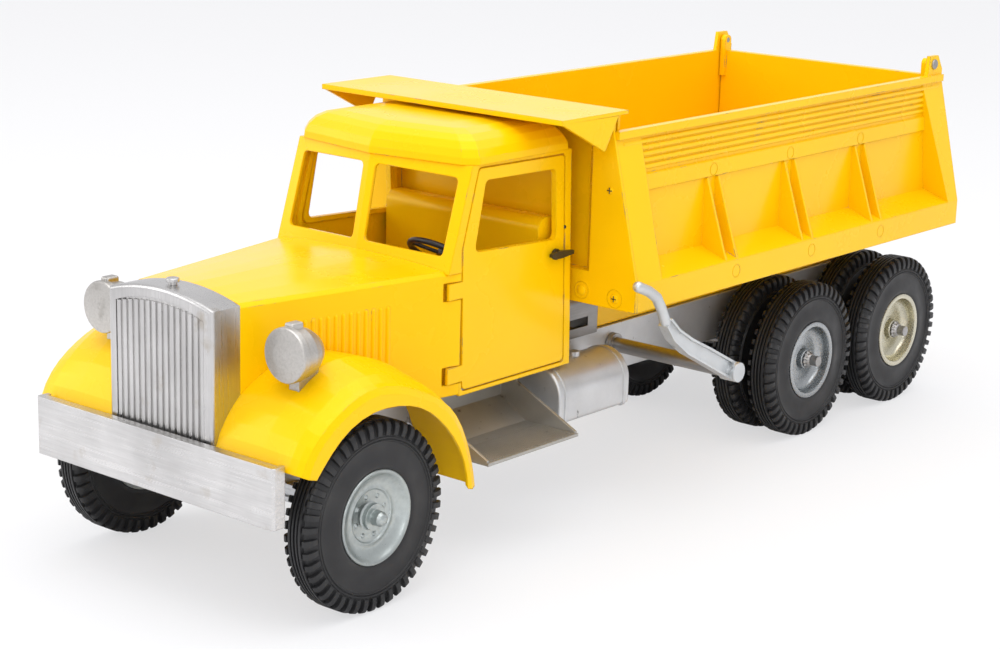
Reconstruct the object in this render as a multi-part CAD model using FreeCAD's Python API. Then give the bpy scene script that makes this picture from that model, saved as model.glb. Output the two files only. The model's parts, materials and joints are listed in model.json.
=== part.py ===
"""Push-along tipper truck, ten wheels, tipping load bed worked by a side lever.

Millimetres. +Z is up, the truck faces -Y and +X is its left-hand side. The pieces are drawn from
the point on the floor under the middle of the front axle, and written with the origin on the floor
under the middle of the whole truck's box.
"""

import FreeCAD, Part
import math
import os

V = FreeCAD.Vector

# Wheels and axles
TYRE_R = 44.5
TYRE_W = 16.0
RIM_LIP_R = 22.1
RIM_LIP_W = 1.2
RIM_SEAT_R = 20.4
TREAD_GROOVES = 4
GROOVE_W = 1.1
GROOVE_DEPTH = 1.6
FRONT_TYRE_X = 84.5
REAR_TYRE_X = 77.2
DUAL_GAP = 8.5
REAR_AXLE_Y = (370.6, 468.6)
AXLE_R = 3.0
RUN = 0.05
AXLE_Z = TYRE_R
AXLE_TO_RAIL = 9.5

# Chassis rails
RAIL_X = 30.0
RAIL_Z0 = AXLE_Z + AXLE_TO_RAIL
RAIL_H = 26.0
DECK = RAIL_Z0 + RAIL_H
RAIL_T = 2.0
RAIL_FLANGE = 10.0
RAIL_Y0 = -48.3
RAIL_Y1 = 490.0
CROSS_Y = (-38.0, 100.0, 212.0, 330.0, 484.0)
CROSS_T = 3.0
CROSS_H = 14.0

# Front axle and steering
BEAM_H = 8.6
BEAM_W = 7.0
KINGPIN_X = 58.0
KINGPIN_R = 1.5
EYE_R = 4.0
EAR_T = 2.2
EAR_GAP = 0.5
STEER_ARM = 15.0
STEER_PIN_R = 1.2
STEER_PIN_PLAY = 0.15
STEER_MAX = 18.0
TIE_ROD_T = 3.0
SPRING_LEAVES = 3
SPRING_LENGTH = 64.0
SPRING_W = 8.0
HUB_PROUD = 4.5

# Steering wheel
STEER_WHEEL_AT = (26.0, 108.0, DECK + 57.0)
STEER_WHEEL_R = 18.0
STEER_RIM_R = 1.5
COLUMN_LEAN = 35.0
COLUMN_R = 1.8
COLUMN_BOSS_R = 4.0

# Bumper
BUMPER_X = 78.7
BUMPER_Y = -58.9
BUMPER_Z0 = RAIL_Z0 - 2.2
BUMPER_Z1 = DECK - 0.5
BUMPER_T = 2.2
BUMPER_FLANGE = 5.0
BUMPER_END = 7.0
BUMPER_BEND = 1.2

# Radiator shell
GRILLE_X = 34.0
GRILLE_Y0 = -52.2
GRILLE_Y1 = -35.4
GRILLE_Z0 = DECK - 20.0
GRILLE_SIDE_Z = DECK + 58.7
GRILLE_TOP_Z = GRILLE_SIDE_Z + 5.1
GRILLE_WALL = 2.4
GRILLE_RIBS = 15
GRILLE_RIB_SPAN = 54.6
GRILLE_BORDER = 5.2
RECESS = 1.2
CAP_R = 3.0

# Hood and cowl, one pressing
HOOD_Y1 = 85.4
COWL_X = 57.0
HOOD_SIDE_Z = GRILLE_SIDE_Z + 0.6
HOOD_CROWN = 3.6
HOOD_Z0 = DECK - 1.5
SHEET = 1.6
HOOD_EDGE = 1.8
LOUVRES = 12
LOUVRE_Y = (-1.5, 43.5)
LOUVRE_Z = (DECK + 17.0, DECK + 46.5)
LOUVRE_R = 1.2

# Mudguards
FENDER_X = 88.0
FENDER_SHEET = 1.6
FENDER_CROWN = 6.5
FENDER_CROWN_X = 62.0
FENDER_SKIRT_ROUND = 4.5
# Crest and wheel arch as (y, z above the deck)
FENDER_CREST = ((-51.0, -4.0), (-44.5, 7.2), (-28.2, 19.8), (-9.7, 26.6), (9.5, 25.2),
                (29.5, 18.0), (46.8, 7.0), (58.5, -11.3), (65.0, -35.0))
FENDER_ARCH = ((-43.5, -9.0), (-39.0, -3.8), (-22.0, 10.6), (-6.3, 15.5), (9.7, 15.1),
               (26.4, 10.0), (40.2, -0.4), (51.5, -14.8), (57.5, -35.5))

# Headlamps
LAMP_X = 60.5
LAMP_Y = -34.5
LAMP_Z = DECK + 41.0
LAMP_R = 12.5
LAMP_LENGTH = 22.0
LAMP_FOOT_W = 6.0

# Cab
CAB_X = 57.0
CAB_Z0 = DECK - 2.5
WAIST_Z = DECK + 58.0
ROOF_SEAM_Z = WAIST_Z + 50.0
SCREEN_BASE_Y = 72.4
SCREEN_TOP_Y = 82.4
CORNER_BASE_Y = 76.4
CORNER_TOP_Y = 91.9
CAB_REAR_Y0 = 170.3
CAB_REAR_Y1 = 166.5
PANE_X = (3.8, 50.8)
PANE_Z = (WAIST_Z + 8.8, ROOF_SEAM_Z - 4.4)
ROOF_RISE = 15.5
ROOF_OVERHANG = 1.0
ROOF_CORNER = 5.0
ROOF_CURVE = ((0.0, 0.0), (0.22, 0.3), (0.46, 2.2), (0.68, 5.6), (0.84, 10.5), (0.95, 18.0), (1.0, 30.0))
FLOOR_Z = DECK + 0.3
FLOOR_T = 1.5
SEAT_TOP_Z = DECK + 74.0
SEAT_Z = DECK + 28.0
SEAT_X = 51.0
SEAT_DEPTH = 40.0
SEAT_T = 16.0

# Doors: outline seen from the side, as (y, z)
DOOR_Z0 = CAB_Z0 + 2.7
DOOR_Z1 = ROOF_SEAM_Z - 1.8
DOOR = ((87.6, DOOR_Z0), (86.2, WAIST_Z + 11.0), (97.0, DOOR_Z1), (161.0, DOOR_Z1 - 0.8),
        (164.8, DOOR_Z0))
DOOR_WINDOW = ((94.6, WAIST_Z + 8.2), (101.8, DOOR_Z1 - 6.0), (154.6, DOOR_Z1 - 7.0),
               (156.6, WAIST_Z + 5.6))
DOOR_GAP = 0.8
DOOR_FOLD = 3.6
HINGE_X = 53.5
HINGE_Y = 81.6
HINGE_PIN_R = 1.0
HINGE_STRAP_Z = (DECK + 4.5, WAIST_Z - 12.5)
HINGE_STRAP_H = 8.0
HINGE_STRAP_Y = 76.8
HANDLE_Y = 155.3
HANDLE_Z = WAIST_Z - 1.6
HANDLE_SHAFT_R = 1.2

# Step and fuel tank
STEP_Y = (80.0, 148.7)
STEP_X = 81.0
STEP_Z = RAIL_Z0 - 3.5
STEP_INNER_X = 48.0
TANK_Y = (157.5, 216.0)
TANK_X = (32.0, 62.0)
TANK_Z0 = RAIL_Z0 - 6.0
TANK_Z1 = RAIL_Z0 + 22.8
TANK_CAP_R = 3.0

# Hoist housing behind the cab
HOIST_X = 34.0
HOIST_Y = (180.0, 223.0)
HOIST_Z1 = DECK + 24.0

# Load bed
BED_Y0 = 174.1
BED_Y1 = 498.2
BED_Z0 = DECK + 29.1
BED_Z1 = BED_Z0 + 88.4
BED_TOP_X = 76.4
BED_LIP_X = 93.9
BED_LIP_Z = BED_Z0 + 14.0
BED_SKIN_X = (74.5, 77.0)
BED_FLOOR_Z = (BED_Z0 + 1.4, BED_Z0 + 3.4)
BED_SHEET = 1.8
POST_W = 20.0
REAR_POST_TOP_W = 24.0
REAR_POST_FOOT_W = 11.5
TOP_RAIL = (2.0, 4.0)
CORRUGATIONS = 5
CORRUGATION_Z = (BED_Z1 - 20.1, BED_Z1 - 6.9)
CORRUGATION_R = 1.3
BAND_Z = (BED_Z1 - 32.5, BED_Z1 - 23.2)
BAND_T = 1.6
FIN_Y = (259.4, 332.6, 405.8)
FIN_PAIR_W = 10.0
FIN_T = 1.8
FIN_TOP_Z = BAND_Z[0]
SHELF_Z = BED_LIP_Z + 6.4
CANOPY_Y0 = 130.2
CANOPY_X = 79.4
CANOPY_Z1 = BED_Z1 + 10.5
CANOPY_LIP = 2.6
# The canopy's side gusset as (y, depth below the canopy)
CANOPY_GUSSET = ((131.0, 2.4), (164.0, 18.7), (169.8, 9.0), (174.0, 2.0))
HEAD_RECESS_Y = 180.0
HEAD_RECESS_X = (60.0, 65.0)
APRON_Z1 = BED_LIP_Z + 2.9

# Tailgate
GATE_PIN_Y = BED_Y1 - 10.2
GATE_PIN_Z = BED_Z1 + 6.5
GATE_PIN_R = 1.5
GATE_T = 2.4
GATE_GAP = 0.7
GATE_STRAP_W = 3.6
LUG_Z1 = GATE_PIN_Z + 5.0
LUG_W = 14.0

# Tipping gear
PIVOT_Y = 478.0
PIVOT_Z = DECK + 16.0
PIVOT_R = 3.0
SILL_X = (20.0, 28.0)
SILL_Y0 = 228.0
SILL_CLEAR = 0.4
SILL_END_R = 15.0
TIP_MAX = 30.0
SHAFT_Y = TANK_Y[1] + 26.0
SHAFT_Z = RAIL_Z0 + 15.5
SHAFT_R = 4.0
ARM_LENGTH = 120.0
ARM_X = (12.0, 15.0)
ROLLER_R = 4.0
ROLLER_GAP = 0.3
CAM_HALF_W = 4.0
CAM_MIN = 2.0
CAM_STEPS = 12
LEVER_X = (103.0, 111.0)
LEVER_BOSS_R = 5.2
# The lever's middle line as (distance ahead of its shaft, height above it)
LEVER_ROUTE = ((0.0, 0.0), (25.0, 13.0), (41.0, 21.0), (53.0, 29.0), (60.0, 36.5))
HANDLE_ROUTE = ((60.0, 36.5), (64.0, 44.0), (68.5, 50.5), (75.4, 54.8), (84.0, 58.3))
LEVER_W = (9.6, 9.2, 8.6, 7.2, 5.6)
HANDLE_R = 2.7

# Rear bogie
TRUNNION_Z = RAIL_Z0 + 6.0
TRUNNION_R = 4.0
ROCKER_X = (31.3, 35.3)
ROCKER_DEPTH = 8.0
NUT_R = 4.6


def box(x0, x1, y0, y1, z0, z1):
    """A block between two corners."""
    return Part.makeBox(x1 - x0, y1 - y0, z1 - z0, V(x0, y0, z0))


def rod(start, end, radius):
    """A round bar from one point to another."""
    a, b = V(*start), V(*end)
    return Part.makeCylinder(radius, (b - a).Length, a, b - a)


def ball(at, radius):
    """A sphere."""
    return Part.makeSphere(radius, V(*at))


def join(*shapes):
    """One solid from touching or overlapping solids."""
    whole = shapes[0].multiFuse(list(shapes[1:])) if len(shapes) > 1 else shapes[0]
    return whole.removeSplitter()


def group(*shapes):
    """Separate solids kept together in one node."""
    return Part.makeCompound(list(shapes))


def mirrored(shape):
    """The same piece on the truck's other side."""
    return shape.mirror(V(0, 0, 0), V(1, 0, 0))


def prism(points, move):
    """A flat outline pushed along a vector."""
    corners = [V(*p) for p in points]
    return Part.Face(Part.makePolygon(corners + corners[:1])).extrude(V(*move))


def side_prism(points, x0, x1):
    """An outline given as (y, z), from x0 to x1."""
    return prism([(x0, y, z) for y, z in points], (x1 - x0, 0, 0))


def front_prism(points, y0, y1):
    """An outline given as (x, z), from y0 to y1."""
    return prism([(x, y0, z) for x, z in points], (0, y1 - y0, 0))


def plan_prism(points, z0, z1):
    """An outline given as (x, y), from z0 to z1."""
    return prism([(x, y, z0) for x, y in points], (0, 0, z1 - z0))


def turned(profile, y, z):
    """A profile given as (x, r), turned about the line through (y, z) along X."""
    corners = [V(x, y, z + r) for x, r in profile]
    face = Part.Face(Part.makePolygon(corners + corners[:1]))
    return face.revolve(V(0, y, z), V(1, 0, 0), 360)


def loft(sections):
    """A solid with flat or ruled sides through closed outlines of equal count."""
    wires = []
    for section in sections:
        corners = [V(*p) for p in section]
        wires.append(Part.makePolygon(corners + corners[:1]))
    return Part.makeLoft(wires, True, True)


def rounded(shape, radius, chosen):
    """The shape with the edges that the test picks rounded."""
    edges = [e for e in shape.Edges if chosen(e)]
    return shape.makeFillet(radius, edges) if edges else shape


def is_along(edge, axis):
    """True for a straight edge along the given axis, 0 to 2."""
    a, b = edge.Vertexes[0].Point, edge.Vertexes[-1].Point
    return all(abs(a[i] - b[i]) < 1e-6 for i in range(3) if i != axis)


def across(value, low, high):
    """Where a value lies from low, 0, to high, 1."""
    return (value - low) / (high - low)


def hood_half_width(y):
    """Half the outer width of the hood and cowl at a place along the truck."""
    return GRILLE_X + (COWL_X - GRILLE_X) * across(y, GRILLE_Y1, HOOD_Y1)


# Wheels

def tyre(x_out):
    """A tyre whose outer face is at x_out, on the left, about the line y = 0, z = AXLE_Z."""
    crest = 2.4
    side = [(RIM_LIP_W, RIM_SEAT_R), (RIM_LIP_W, RIM_LIP_R), (0.7, RIM_LIP_R),
            (0.2, RIM_LIP_R + 2.4), (1.1, (RIM_LIP_R + TYRE_R) / 2), (0.4, TYRE_R - 7),
            (0.0, TYRE_R - 4.6), (1.0, TYRE_R - 1.0), (crest, TYRE_R)]
    tread = []
    pitch = (TYRE_W - 2 * crest) / TREAD_GROOVES
    for n in range(TREAD_GROOVES):
        middle = crest + pitch * (n + 0.5)
        tread.append((middle - GROOVE_W / 2, TYRE_R))
        tread.append((middle - GROOVE_W / 4, TYRE_R - GROOVE_DEPTH))
        tread.append((middle + GROOVE_W / 4, TYRE_R - GROOVE_DEPTH))
        tread.append((middle + GROOVE_W / 2, TYRE_R))
    other = [(TYRE_W - s, r) for s, r in reversed(side)]
    return turned([(x_out - s, r) for s, r in side + tread + other], 0, AXLE_Z)


def rim(x_out, web, hub_out, hub_in, hub_r):
    """A pressed rim: web is the disc's depth, the hub runs between two depths."""
    wall = 1.3
    tube_r = RIM_SEAT_R - wall
    profile = [(0.0, tube_r + 0.2), (0.0, RIM_LIP_R), (RIM_LIP_W, RIM_LIP_R),
               (RIM_LIP_W, RIM_SEAT_R), (TYRE_W - RIM_LIP_W, RIM_SEAT_R),
               (TYRE_W - RIM_LIP_W, RIM_LIP_R), (TYRE_W, RIM_LIP_R), (TYRE_W, tube_r),
               (web + wall + 1.0, tube_r), (web + wall, tube_r - 1.5), (web + wall, hub_r),
               (hub_in, hub_r), (hub_in, AXLE_R + RUN), (hub_out, AXLE_R + RUN),
               (hub_out, hub_r), (web, hub_r), (web, tube_r - 2.5), (web - 1.5, tube_r - 1.0)]
    return turned([(x_out - s, r) for s, r in profile], 0, AXLE_Z)


def placed(shape, y):
    """A wheel part moved to its axle."""
    return shape.translated(V(0, y, 0))


def front_wheel():
    """Tyre and rim of the left front wheel."""
    return tyre(FRONT_TYRE_X), rim(FRONT_TYRE_X, 5.0, 2.6, TYRE_W - 0.4, 5.5)


def dual_wheels():
    """Both tyres and both rims of a rear pair on the left."""
    inner_x = REAR_TYRE_X - TYRE_W - DUAL_GAP
    half = TYRE_W + DUAL_GAP / 2
    outer_rim = rim(REAR_TYRE_X, 8.0, 3.4, half, 5.5)
    inner_rim = rim(inner_x, 8.0, -DUAL_GAP / 2, TYRE_W - 0.8, 5.5)
    return group(tyre(REAR_TYRE_X), tyre(inner_x)), group(outer_rim, inner_rim)


# Chassis

def rail():
    """The left chassis rail, a channel open towards the middle."""
    z1 = RAIL_Z0 + RAIL_H
    inner = RAIL_X - RAIL_FLANGE
    outline = [(RAIL_X, RAIL_Z0), (RAIL_X, z1), (inner, z1), (inner, z1 - RAIL_T),
               (RAIL_X - RAIL_T, z1 - RAIL_T), (RAIL_X - RAIL_T, RAIL_Z0 + RAIL_T),
               (inner, RAIL_Z0 + RAIL_T), (inner, RAIL_Z0)]
    channel = front_prism(outline, RAIL_Y0, RAIL_Y1)
    trunnion_y = sum(REAR_AXLE_Y) / 2
    channel = channel.cut(rod((0, trunnion_y, TRUNNION_Z), (RAIL_X + 1, trunnion_y, TRUNNION_Z),
                              TRUNNION_R))
    return channel.cut(rod((0, SHAFT_Y, SHAFT_Z), (RAIL_X + 1, SHAFT_Y, SHAFT_Z), SHAFT_R + RUN))


def crossmembers():
    """Plates between the rails, and the tube that the rear bogie rocks on."""
    half = RAIL_X - RAIL_T
    z0 = RAIL_Z0 + RAIL_T
    plates = []
    for y in CROSS_Y:
        plates.append(box(-half, half, y - CROSS_T / 2, y + CROSS_T / 2, z0, z0 + CROSS_H))
    y = sum(REAR_AXLE_Y) / 2
    end = ROCKER_X[1] + 0.2
    tube = rod((-end, y, TRUNNION_Z), (end, y, TRUNNION_Z), TRUNNION_R)
    washer = rod((end, y, TRUNNION_Z), (end + 0.8, y, TRUNNION_Z), TRUNNION_R + 1.4)
    return group(*plates, join(tube, washer, mirrored(washer)))


def front_axle():
    """The beam under the rails, with an upright eye at each end."""
    z0 = AXLE_Z - BEAM_H / 2
    beam = box(-KINGPIN_X, KINGPIN_X, -BEAM_W / 2, BEAM_W / 2, z0, z0 + BEAM_H)
    for side in (-1, 1):
        x = side * KINGPIN_X
        beam = beam.cut(box(x - EYE_R, x + EYE_R, -BEAM_W, BEAM_W, z0 - 1, z0 + BEAM_H + 1))
        eye = rod((x, 0, z0), (x, 0, z0 + BEAM_H), EYE_R)
        stem = box(min(x, x - side * EYE_R), max(x, x - side * EYE_R), -BEAM_W / 2, BEAM_W / 2,
                   z0, z0 + BEAM_H)
        hole = rod((x, 0, z0 - 1), (x, 0, z0 + BEAM_H + 1), KINGPIN_R)
        beam = join(beam, eye, stem).cut(hole)
    for z in (z0, z0 + BEAM_H - 2.4):
        for y in (-BEAM_W, BEAM_W / 2 - 1.4):
            beam = beam.cut(box(-44, 44, y, y + BEAM_W / 2 + 1.4, z0 + 2.4, z0 + BEAM_H - 2.4))
    return beam


def ear_levels():
    """Lower and upper faces of both ears of a steering knuckle."""
    low = AXLE_Z - BEAM_H / 2 - EAR_GAP
    high = AXLE_Z + BEAM_H / 2 + EAR_GAP
    return (low - EAR_T, low), (high, high + EAR_T)


def kingpins():
    """The two upright pins, held in the beam's eyes."""
    (low, _), (_, high) = ear_levels()
    play = 0.2
    pin = rod((KINGPIN_X, 0, low - play), (KINGPIN_X, 0, high + play), KINGPIN_R)
    head = rod((KINGPIN_X, 0, high + play), (KINGPIN_X, 0, high + play + 0.8), KINGPIN_R + 1.1)
    foot = rod((KINGPIN_X, 0, low - play - 0.8), (KINGPIN_X, 0, low - play), KINGPIN_R + 1.1)
    one = join(pin, head, foot)
    return group(one, mirrored(one))


def knuckle():
    """The left steering knuckle: a fork, its stub axle and its steering arm."""
    lower, upper = ear_levels()
    web_x = KINGPIN_X + 5.2
    web_t = 2.6
    fork = box(web_x, web_x + web_t, -EYE_R, EYE_R, lower[0], upper[1])
    for z0, z1 in (lower, upper):
        fork = join(fork, box(KINGPIN_X, web_x, -EYE_R, EYE_R, z0, z1),
                    rod((KINGPIN_X, 0, z0), (KINGPIN_X, 0, z1), EYE_R))
    stub = rod((web_x, 0, AXLE_Z), (FRONT_TYRE_X - 2.4, 0, AXLE_Z), AXLE_R)
    collar = rod((web_x, 0, AXLE_Z), (FRONT_TYRE_X - TYRE_W + 0.2, 0, AXLE_Z), AXLE_R + 1.6)
    arm = box(KINGPIN_X - 2.5, KINGPIN_X + 2.5, 0, STEER_ARM, lower[0], lower[1])
    end = rod((KINGPIN_X, STEER_ARM, lower[0]), (KINGPIN_X, STEER_ARM, lower[1]), 2.5)
    top = lower[1] + 0.6 + TIE_ROD_T + 0.6
    pin = rod((KINGPIN_X, STEER_ARM, lower[1]), (KINGPIN_X, STEER_ARM, top), STEER_PIN_R)
    hole = rod((KINGPIN_X, 0, lower[0] - 1), (KINGPIN_X, 0, upper[1] + 1), KINGPIN_R + RUN)
    return join(fork, stub, collar, arm, end, pin).cut(hole)


def tie_rod():
    """The bar that joins both steering arms, with a short slot for each arm's pin."""
    z0 = ear_levels()[0][1] + 0.6
    z1 = z0 + TIE_ROD_T
    sag = STEER_ARM * (1 - math.cos(math.radians(STEER_MAX)))
    middle = STEER_ARM - sag / 2
    slot_r = STEER_PIN_R + STEER_PIN_PLAY
    bar = box(-KINGPIN_X, KINGPIN_X, middle - 2, middle + 2, z0, z1)
    for side in (-1, 1):
        x = side * KINGPIN_X
        bar = join(bar, rod((x, middle, z0), (x, middle, z1), 4.2))
        slot = join(box(x - slot_r, x + slot_r, middle - sag / 2, middle + sag / 2, z0 - 1, z1 + 1),
                    rod((x, middle - sag / 2, z0 - 1), (x, middle - sag / 2, z1 + 1), slot_r),
                    rod((x, middle + sag / 2, z0 - 1), (x, middle + sag / 2, z1 + 1), slot_r))
        bar = bar.cut(slot)
    return bar


def front_springs():
    """Leaf packs between the rails and the axle beam."""
    bottom = AXLE_Z + BEAM_H / 2
    leaf_t = (RAIL_Z0 - bottom) / SPRING_LEAVES
    leaves = []
    for n in range(SPRING_LEAVES):
        half = SPRING_LENGTH / 2 * (n + 1) / SPRING_LEAVES
        z0 = bottom + n * leaf_t
        leaves.append(box(RAIL_X - SPRING_W, RAIL_X, -half, half, z0, z0 + leaf_t))
    pack = join(*leaves)
    return group(pack, mirrored(pack))


def front_hub():
    """The domed cap and washer on the end of the left stub axle."""
    x0 = FRONT_TYRE_X - 2.4
    x1 = FRONT_TYRE_X + HUB_PROUD
    profile = [(x0, 0), (x0, 6.2), (x0 + 1.0, 6.2), (x0 + 1.0, 3.6), (x1 - 2.2, 3.4),
               (x1 - 0.8, 2.6), (x1, 1.2), (x1, 0)]
    return turned(profile, 0, AXLE_Z)


# Front end

def bumper():
    """A channel with closed ends, its open side to the rear."""
    def outline(inset, back):
        x = BUMPER_X - inset
        y = BUMPER_Y + inset
        half = [(x, back), (x, y + BUMPER_BEND), (x - BUMPER_BEND, y)]
        return half + [(-px, py) for px, py in reversed(half)]
    back = BUMPER_Y + BUMPER_END
    face = plan_prism(outline(0, back), BUMPER_Z0, BUMPER_Z1)
    hollow = plan_prism(outline(BUMPER_T, back + 1), BUMPER_Z0 + 1.6, BUMPER_Z1 - 1.6)
    flange = box(-BUMPER_X, BUMPER_X, BUMPER_Y + BUMPER_FLANGE, back + 2, BUMPER_Z0 - 1,
                 BUMPER_Z1 + 1)
    ends = join(box(BUMPER_X - BUMPER_T, BUMPER_X, BUMPER_Y, back, BUMPER_Z0, BUMPER_Z1),
                box(-BUMPER_X, BUMPER_T - BUMPER_X, BUMPER_Y, back, BUMPER_Z0, BUMPER_Z1))
    return face.cut(hollow).cut(flange.cut(ends))


def bumper_brackets():
    """Blocks that carry the bumper on the rails' front ends."""
    y0 = BUMPER_Y + BUMPER_T
    one = box(RAIL_X - RAIL_FLANGE, RAIL_X, y0, RAIL_Y0, RAIL_Z0, GRILLE_Z0 - 0.3)
    return group(one, mirrored(one))


def arched(half, z0, side_z, top_z, y0, y1):
    """A slab with an arched top edge."""
    left = V(-half, y0, side_z)
    right = V(half, y0, side_z)
    arch = Part.Arc(left, V(0, y0, top_z), right).toShape()
    base = Part.makePolygon([right, V(half, y0, z0), V(-half, y0, z0), left])
    return Part.Face(Part.Wire([arch] + base.Edges)).extrude(V(0, y1 - y0, 0))


def grille_top(x):
    """Height of the radiator shell's arched top above a place across it."""
    rise = GRILLE_TOP_Z - GRILLE_SIDE_Z
    return GRILLE_TOP_Z - rise * (x / GRILLE_X) ** 2


def grille_shell():
    """The cast radiator shell with upright ribs in a sunk panel."""
    shell = arched(GRILLE_X, GRILLE_Z0, GRILLE_SIDE_Z, GRILLE_TOP_Z, GRILLE_Y0, GRILLE_Y1)
    shell = rounded(shell, 2.0, lambda e: e.BoundBox.YMax < GRILLE_Y0 + 0.01
                    and e.BoundBox.ZMax > GRILLE_SIDE_Z - 1)
    inside = GRILLE_X - GRILLE_WALL
    shell = shell.cut(arched(inside, GRILLE_Z0 - 1, GRILLE_SIDE_Z - GRILLE_WALL,
                             GRILLE_TOP_Z - GRILLE_WALL, GRILLE_Y0 + GRILLE_WALL + RECESS,
                             GRILLE_Y1 + 1))
    sunk = GRILLE_X - GRILLE_BORDER
    shell = shell.cut(arched(sunk, GRILLE_Z0 - 1, GRILLE_SIDE_Z - GRILLE_BORDER,
                             GRILLE_TOP_Z - GRILLE_BORDER, GRILLE_Y0 - 1, GRILLE_Y0 + RECESS))
    pitch = GRILLE_RIB_SPAN / (GRILLE_RIBS - 1)
    ribs = []
    for n in range(GRILLE_RIBS):
        x = pitch * n - GRILLE_RIB_SPAN / 2
        z1 = grille_top(x) - GRILLE_BORDER - 1.6
        ribs.append(rod((x, GRILLE_Y0 + RECESS, GRILLE_Z0), (x, GRILLE_Y0 + RECESS, z1), 1.35))
    return join(shell, *ribs)


def radiator_cap():
    """The small filler cap on the shell's top."""
    y = (GRILLE_Y0 + GRILLE_Y1) / 2
    neck = rod((0, y, GRILLE_TOP_Z), (0, y, GRILLE_TOP_Z + 1.4), CAP_R - 1.0)
    top = rod((0, y, GRILLE_TOP_Z + 1.4), (0, y, GRILLE_TOP_Z + 3.2), CAP_R)
    return join(neck, rounded(top, 0.5, lambda e: e.BoundBox.ZMin > GRILLE_TOP_Z + 3))


def hood_section(y, inset, z0):
    """Outline of the hood across the truck at a place along it."""
    w = hood_half_width(y) - inset
    z = HOOD_SIDE_Z - inset
    half = [(w, z0), (w, z - HOOD_EDGE), (w - HOOD_EDGE, z + 0.2), (w * 0.66, z + HOOD_CROWN * 0.5),
            (w * 0.33, z + HOOD_CROWN * 0.82), (0, z + HOOD_CROWN)]
    return [(x, y, zz) for x, zz in half] + [(-x, y, zz) for x, zz in reversed(half[:-1])]


def door_strap_slots():
    """Where the door's hinge straps pass the left cowl side."""
    slots = []
    for z in HINGE_STRAP_Z:
        slots.append(box(CAB_X - 6, CAB_X + 1, HINGE_STRAP_Y - 1.8, HOOD_Y1 + 2.4, z - 0.4,
                         z + HINGE_STRAP_H + 0.4))
    return slots


def hood():
    """Hood top, both sides and the cowl sides up to the doors, one sheet."""
    outer = loft([hood_section(GRILLE_Y1, 0, HOOD_Z0), hood_section(HOOD_Y1, 0, HOOD_Z0)])
    inner = loft([hood_section(GRILLE_Y1 - 1, SHEET, HOOD_Z0 - 1),
                  hood_section(HOOD_Y1 + 1, SHEET, HOOD_Z0 - 1)])
    shell = outer.cut(inner).cut(upper_cab(0, WAIST_Z, ROOF_SEAM_Z))
    side = math.degrees(math.atan2(COWL_X - GRILLE_X, HOOD_Y1 - GRILLE_Y1))
    pitch = (LOUVRE_Y[1] - LOUVRE_Y[0]) / (LOUVRES - 1)
    guard = fender_outer()
    ribs = []
    for n in range(LOUVRES):
        y = LOUVRE_Y[0] + n * pitch
        x = hood_half_width(y) - 0.2 * math.cos(math.radians(side))
        bar = join(rod((x, y, LOUVRE_Z[0]), (x, y, LOUVRE_Z[1]), LOUVRE_R),
                   ball((x, y, LOUVRE_Z[1]), LOUVRE_R)).cut(guard)
        ribs += [bar, mirrored(bar)]
    shell = join(shell, *ribs).cut(inner)
    for slot in door_strap_slots():
        shell = shell.cut(slot).cut(mirrored(slot))
    brackets = []
    for z in (HINGE_STRAP_Z[0] + HINGE_STRAP_H + 1.0, HINGE_STRAP_Z[1] - 4.4):
        block = box(HINGE_X - 2.0, hood_half_width(HINGE_Y) - SHEET / 2, HINGE_Y - 2.0,
                    HINGE_Y + 2.0, z, z + 3.4)
        brackets += [block, mirrored(block)]
    shell = join(shell, *brackets)
    pin = rod((HINGE_X, HINGE_Y, HOOD_Z0 - 1), (HINGE_X, HINGE_Y, WAIST_Z), HINGE_PIN_R)
    return shell.cut(pin).cut(mirrored(pin))


# Mudguards

def curve_points(points, count):
    """Evenly spread points on the smooth curve through (y, z) points."""
    curve = Part.BSplineCurve()
    curve.interpolate([V(0, y, DECK + z) for y, z in points])
    spread = curve.discretize(count)
    return [(p.y, p.z) for p in spread]


def drawn_in(points, depth):
    """A (y, z) curve moved square to itself, towards the axle."""
    moved = []
    last = len(points) - 1
    for n, (y, z) in enumerate(points):
        (y0, z0), (y1, z1) = points[max(n - 1, 0)], points[min(n + 1, last)]
        length = math.hypot(y1 - y0, z1 - z0)
        moved.append((y + depth * (z1 - z0) / length, z - depth * (y1 - y0) / length))
    return moved


def fender_section(x, depth, rise, below):
    """One closed outline of the mudguard, its foot carried down by below."""
    steps = 25
    crest = curve_points(FENDER_CREST, steps)
    lifted = []
    for n, (y, z) in enumerate(crest):
        share = math.sin(math.pi * n / (steps - 1))
        lifted.append((y, z + rise * share))
    line = drawn_in(lifted, depth)
    (ya, za), (yb, zb) = line[0], line[-1]
    ends = [(yb, zb - below), (ya, zb - below)] if below else []
    return [(x, y, z) for y, z in line + ends]


def fender_outer():
    """The mudguard's outer form as a full block, from the truck's middle to the skirt."""
    inner_x = GRILLE_X - 6
    mid = FENDER_X - 2 * FENDER_SKIRT_ROUND
    soft = FENDER_SKIRT_ROUND
    return loft([fender_section(inner_x, 0, FENDER_CROWN, 0),
                 fender_section(FENDER_CROWN_X, 0, FENDER_CROWN * 1.2, 0),
                 fender_section(mid, 0, FENDER_CROWN * 0.45, 0),
                 fender_section(FENDER_X - soft, 0.3, 0, 0),
                 fender_section(FENDER_X - soft * 0.3, soft * 0.3, 0, 0),
                 fender_section(FENDER_X, soft, 0, 0)])


def fender_inner():
    """What is hollowed out of the mudguard's block."""
    t = FENDER_SHEET
    soft = FENDER_SKIRT_ROUND
    mid = FENDER_X - 2 * soft
    return loft([fender_section(GRILLE_X - 8, t, FENDER_CROWN, 30),
                 fender_section(FENDER_CROWN_X, t, FENDER_CROWN * 1.2, 30),
                 fender_section(mid, t, FENDER_CROWN * 0.45, 30),
                 fender_section(FENDER_X - soft, t + 0.3, 0, 30),
                 fender_section(FENDER_X - t, t + soft * 0.5, 0, 30)])


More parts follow.
